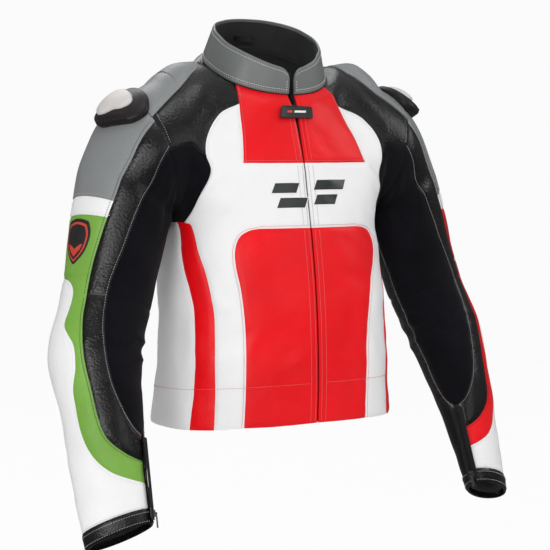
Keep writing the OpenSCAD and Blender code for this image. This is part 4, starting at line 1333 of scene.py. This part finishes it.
def collar_pieces():
    """Collar, its lining, rows of stitches along its base and top, and one beside each end."""
    collar_shell("collar", 0.0, 3.6, 1.8, 0.0, "collar_leather")
    collar_shell("collar_lining", 3.8, 1.4, 6.0, -0.28, "lining_cloth")
    phi = np.linspace(-90 + COLLAR_GAP + 2, 270 - COLLAR_GAP - 2, 600)
    a = np.radians(phi)
    dip, rear = collar_dips(a)
    height = COLLAR_H - dip - rear
    n = np.stack([np.cos(a), np.sin(a), 0.25 + 0 * a], 1)
    for up, tone in ((3.6, "thread_grey"), (6.4, "thread_white"), (height - 5.7, "thread_white")):
        stitch_row("torso", tone, collar_line(phi, up / height) + n * 0.15, n, **COLLAR_THREAD)
    v = np.linspace(0.12, 0.62, 40)
    for end in (-90 + COLLAR_GAP + 2.3, 270 - COLLAR_GAP - 2.3):
        p = collar_line(np.full(40, end), v)
        ahead = np.tile([0, -1.0, 0.2], (40, 1))
        stitch_row("torso", "thread_white", p + [0, -0.2, 0], ahead, **COLLAR_THREAD)


def collar_line(phi, v):
    """Points on the collar's outside, v of the way up."""
    p0, p1 = collar_point(phi, 0.0), collar_point(phi, 1.0)
    a = np.radians(phi)
    lift = collar_relief(phi, v)[:, None] * np.stack([np.cos(a), np.sin(a), 0 * a], 1)
    return p0 + (p1 - p0) * v[:, None] + lift


# ---------------------------------------------------------------- zip, badge and emblem


def on_front(x, z, depth=0.0):
    """Point beside the front zip: depth is how far it lies behind the face."""
    a = math.asin((z - ZIP_Z) / ZIP_R)
    return np.array([x, ZIP_Y - (ZIP_R - depth) * math.cos(a), ZIP_Z + (ZIP_R - depth) * math.sin(a)])


def front_zip_piece():
    """Tapes, teeth, and the two tape ends that spread to the collar."""
    sink, low, high, tooth = 6.6, -496.0, -30.0, 3.0
    points, faces = [], []
    for s in (-1, 1):
        grid = np.array([[on_front(x * s, z, sink - 0.4) for x in (1.7, 5, 9, 13)]
                         for z in np.linspace(low, high, 90)])
        slab(points, faces, grid, np.array([0, 1.0, 0]))
    for k in range(int((high - low) / tooth)):
        for s in (-1, 1):
            z = low + tooth * (k + 0.5 + s / 4)
            box(points, faces, on_front(s, z, sink), *np.diag([1.1, 1.2, 0.85]))
    for s in (-1, 1):
        tail = [on_front(1.8 * s, high, sink - 1), on_front(2.6 * s, high + 9, sink - 2.5),
                on_front(4.4 * s, high + 24, sink - 3), on_front(7.4 * s, high + 37, sink - 2)]
        path = outline(tail, 24)
        grid = np.stack([path, path + [2.6 * s, 0.6, 0], path + [5.2 * s, 1.6, 0]], 1)
        slab(points, faces, grid, np.array([0, 1.2, 0]))
    obj = mesh_object("front_zip", points, faces, "zip_tape", uv=np.array([(p[0], p[2]) for p in points]))
    finish_piece(obj, "torso", "zip_tape", "front_zip")


def slider_piece():
    """Zip slider whose plate runs under the leather edges; only its thin lug and pin come out of the slit."""
    pin = np.array([0, -90.02, -44.81])             # where the pull's joint is
    a = math.asin((-47.0 - ZIP_Z) / ZIP_R)
    x = np.eye(3)[0]
    out, up = np.array([0, -math.cos(a), math.sin(a)]), np.array([0, math.sin(a), math.cos(a)])
    points, faces = [], []
    box(points, faces, on_front(0, -48, 4.7), x * 5.3, up * 7.0, out * 0.45)
    box(points, faces, on_front(0, -45.5, 0.2), x * 0.75, up * 3.0, out * 4.4)
    count, radius, half = 12, 0.85, 3.6
    near = len(points)
    far = near + count
    for side in (-half, half):
        for t in np.arange(count) * 2 * math.pi / count:
            points.append(pin + x * side + (out * math.cos(t) + up * math.sin(t)) * radius)
    for i in range(count):
        j = (i + 1) % count
        faces.append([near + i, far + i, far + j, near + j])
    faces.append([near + i for i in range(count)])
    faces.append([far + i for i in range(count)][::-1])
    obj = mesh_object("zip_slider", points, faces, "zip_metal", sharp=40)
    finish_piece(obj, "front_slider", "zip_metal", "zip_slider")


def rounded(corners, radius):
    """Closed outline with its corners rounded by short curves."""
    points, n = [], len(corners)
    for i in range(n):
        before, at, after = corners[i - 1], corners[i], corners[(i + 1) % n]
        a, b = at + unit(before - at) * radius, at + unit(after - at) * radius
        points += [(1 - t) ** 2 * a + 2 * t * (1 - t) * at + t * t * b for t in np.linspace(0, 1, 7)]
    return np.array(points)


def badge_piece():
    """Rubber badge with a raised rim and two plain slanted bars. It rides on the zip's pull."""
    lo, hi = (np.array(c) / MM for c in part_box("neck_badge"))
    wide, tall, mid = (hi[0] - lo[0]) / 2, (hi[2] - lo[2]) / 2, (hi[2] + lo[2]) / 2
    low, high = facing([[0.0, mid - 8], [0.0, mid + 8]], -1)
    across, up = np.eye(3)[0], unit(high - low)
    front_dir = np.cross(across, up)
    face = (low + high) / 2 + front_dir * 4.2 - up * 1.5        # clear of the collar and the leather
    corners = [(-wide - 5, -tall), (wide - 3, -tall - 0.5), (wide - 2, tall - 1.5), (-wide + 1.5, tall)]
    rim = rounded(np.array(corners), 2.4)
    n = len(rim)
    # share of the outline, height above the face: up the side, over the rim and on to the middle
    rings = [(1.0, -1.5), (1.0, 0.9), (0.98, 1.4), (0.93, 1.4), (0.90, 0.8), (0.45, 0.8)]
    points = [face + (across * a + up * b) * k + front_dir * h for k, h in rings for a, b in rim]
    last, m = (len(rings) - 1) * n, len(points)
    points += [face + front_dir * 0.8, face - front_dir * 1.3]
    faces = []
    for j in range(n):
        k = (j + 1) % n
        faces += [[i + j, i + k, i + n + k, i + n + j] for i in range(0, last, n)]
        faces.append([last + j, last + k, m])
        faces.append([k, j, m + 1])
    obj = mesh_object("neck_badge", points, faces, "badge_rubber", sharp=40)
    finish_piece(obj, "front_pull", "badge_rubber", "neck_badge")
    marks = [("badge_mark_a", -18, -10, "badge_red"), ("badge_mark_b", -6, 13, "badge_ink")]
    for name, x0, x1, material in marks:
        pts, fcs = [], []
        grid = np.array([[face + across * (a + b * 0.35) + up * b + front_dir * 1.15 for a in (x0, x1)]
                         for b in (-1.6, 1.6)])
        slab(pts, fcs, grid, -front_dir * 0.6)
        finish_piece(mesh_object(name, pts, fcs, material), "front_pull", "badge_rubber")


def emblem_pieces():
    """Plain chest emblem: two slanted bars on each side of the zip, each on a white backing."""
    # left, right, bottom and top
    bars = [(-58, -20, -170, -156), (-52, -8, -191, -177), (10, 62, -166, -152), (8, 44, -187, -173)]
    layers = [("rim", 1.6, 0.35, "white_leather", "white_leather"),
              ("bar", 0, 0.8, "emblem_print", "badge_rubber")]
    for k, (x0, x1, z0, z1) in enumerate(bars):
        for label, grow, lift, material, slot in layers:
            z = np.linspace(z0 - grow, z1 + grow, 12)
            lines = [facing(np.stack([x + (z - z0) * 0.5, z], 1), -1) for x in (x0 - grow, x1 + grow)]
            grid = patch(*lines, rows=spaced(z1 - z0 + 2 * grow, 3), cols=spaced(x1 - x0, 4))
            obj = shell("emblem_%s_%d" % (label, k), [grid], place_torso, torso_relief, material, lift=lift,
                        thick=0.9, seam=0.15, seam_w=1.0)
            finish_piece(obj, "torso", slot)


# ---------------------------------------------------------------- inside


def inner_pieces(grids):
    """Lining, back protector, waist zip and hanger loop. The lining follows the torso panels' grids."""
    for part_name, part_grids in grids.items():
        obj = shell("body_lining_" + part_name, part_grids, place_torso, torso_relief, "lining_cloth",
                    SIDES.get(part_name, 1), lift=-6.4, thick=0.7, seam=0)
        finish_piece(obj, "torso", "lining_cloth", "body_lining")
    protector()
    waist_zip()
    hanger_loop()


def grooves(_, p):
    """Cells of the protector's foam."""
    across, down = (np.abs(np.sin(p[:, k] / 11)) for k in (0, 2))
    return 1.6 * (np.maximum(across, 0.55) * down) ** 0.5


def protector():
    low, tall = -430, 330
    rows = spaced(tall)
    pad = patch(*(torso_line(a, low + tall * rows) for a in (64.0, 116.0)), rows=rows, cols=spaced(170))
    obj = shell("back_protector", [pad], place_torso, grooves, "foam", lift=-11.0, thick=9.0, seam=3.0,
                seam_w=14)
    finish_piece(obj, "torso", "foam", "back_protector")


def waist_zip():
    """Two tapes and a row of teeth inside the hem at the back."""
    strips = [patch(*(hem_line(35, 145, rise, 80) for rise in edges), rows=np.linspace(0, 1, 80),
                    cols=np.linspace(0, 1, 4)) for edges in ((14, 22), (23.6, 32))]
    obj = shell("waist_zip", strips, place_torso, None, "zip_tape", lift=-3.4, thick=1.0, seam=0)
    finish_piece(obj, "torso", "zip_tape", "waist_zip")
    points, faces = [], []
    line = hem_line(35.5, 144.5, 22.8, 150)
    _, outward = place_torso(line)
    ahead = unit(np.gradient(line, axis=0))
    for p, n, t in zip(line, outward, ahead):
        box(points, faces, p - n * 4.0, t * 0.7, np.cross(t, n) * 1.5, n * 0.9)
    finish_piece(mesh_object("waist_zip_teeth", points, faces, "zip_metal"), "torso", "zip_metal")


def hanger_loop():
    lo, hi = (np.array(c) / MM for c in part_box("hanger_loop"))
    a = np.linspace(0, math.pi, 40)
    mid = np.array([0, hi[1] - 1.0, (lo[2] + hi[2]) / 2])
    path = mid + np.stack([15 * np.cos(a), -14 * np.sin(a), -4 * np.sin(a)], 1)
    grid = np.stack([path + [0, 0, 4.0], path, path - [0, 0, 4.0]], 1)
    points, faces = [], []
    slab(points, faces, grid, np.array([0, 1.4, 0]))
    obj = mesh_object("hanger_loop", points, faces, "zip_tape",
                      uv=np.array([(p[2], p[0] + p[1]) for p in points]))
    finish_piece(obj, "torso", "zip_tape", "hanger_loop")


def metal_nodes():
    """Gives the metal's looks to the CAD nodes that no piece replaces."""
    names = ["zip_pull"] + [k + "_" + s for k in ("cuff_slider", "cuff_pull") for s in SIDES]
    for name in names:
        for slot in frame["nodes"][name].material_slots:
            slot.material = materials["zip_metal"]


# ---------------------------------------------------------------- camera, light and floor


# place and size in metres, power in watts
LIGHTS = [
    ((-1.7, -2.9, 0.1), 1.4, 13), ((-2.6, -2.0, 0.4), 1.4, 28), ((0.8, -2.9, 0.6), 1.5, 8),
    ((2.3, -1.2, 1.1), 1.2, 13), ((0.2, 2.1, 1.9), 1.5, 20), ((-0.2, -0.8, 2.5), 1.1, 13),
]


def studio():
    """Camera as in the photo, even light, and a white floor that curves up to a wall."""
    scene = bpy.context.scene
    centre = np.array([8, -20, -296]) * MM
    az, el, distance = math.radians(-30), math.radians(4.5), 2.45
    away = np.array([math.sin(az) * math.cos(el), -math.cos(az) * math.cos(el), math.sin(el)])
    camera = bpy.data.cameras.new("camera")
    camera.sensor_width = 36
    camera.lens = 106.9
    scene.camera = placed("camera", camera, centre + away * distance, centre)
    world = bpy.data.worlds.new("studio")
    world.use_nodes = True
    world.node_tree.nodes["Background"].inputs[0].default_value = (1, 1, 1, 1)
    world.node_tree.nodes["Background"].inputs[1].default_value = 0.62
    scene.world = world
    for k, (place, size, power) in enumerate(LIGHTS):
        name = "light_%d" % k
        lamp = bpy.data.lights.new(name, "AREA")
        lamp.size, lamp.energy = size, power
        placed(name, lamp, np.array(place), centre)
    scene.view_settings.view_transform = "Standard"
    studio_floor()


def studio_floor():
    z0, count, curve, flat = cad_box[0][2] / MM - 300, 64, 2500, 4500
    bend = [(flat + curve * math.sin(t), z0 + curve * (1 - math.cos(t)))
            for t in np.linspace(0, math.pi / 2, 16)]
    rings = [(1500, z0)] + bend + [(flat + curve, z0 + 7000)]
    points, faces = [(0, 0, z0)], []
    for r, z in rings:
        points += [(r * math.cos(a), r * math.sin(a), z) for a in np.arange(count) * 2 * math.pi / count]
    for j in range(count):
        k = (j + 1) % count
        faces.append([0, 1 + j, 1 + k])
        starts = range(1, len(points) - count, count)
        faces += [[i + j, i + count + j, i + count + k, i + k] for i in starts]
    return mesh_object("floor", points, faces, "floor_paint")


def placed(name, data, place, target):
    """Puts a camera or a lamp at a place and aims it at a target."""
    obj = bpy.data.objects.new(name, data)
    bpy.context.scene.collection.objects.link(obj)
    obj.location = Vector(place)
    obj.rotation_euler = (Vector(target) - Vector(place)).to_track_quat("-Z", "Y").to_euler()
    return obj


# ---------------------------------------------------------------- making everything

make_materials()
studio()
grids = {side: front_pieces(side, sign) for side, sign in SIDES.items()}
grids["back"] = back_pieces()
for side, sign in SIDES.items():
    sleeve_pieces(side, sign)
    cup_pieces(side, sign)
collar_pieces()
front_zip_piece()
slider_piece()
badge_piece()
emblem_pieces()
inner_pieces(grids)
metal_nodes()
build_threads()
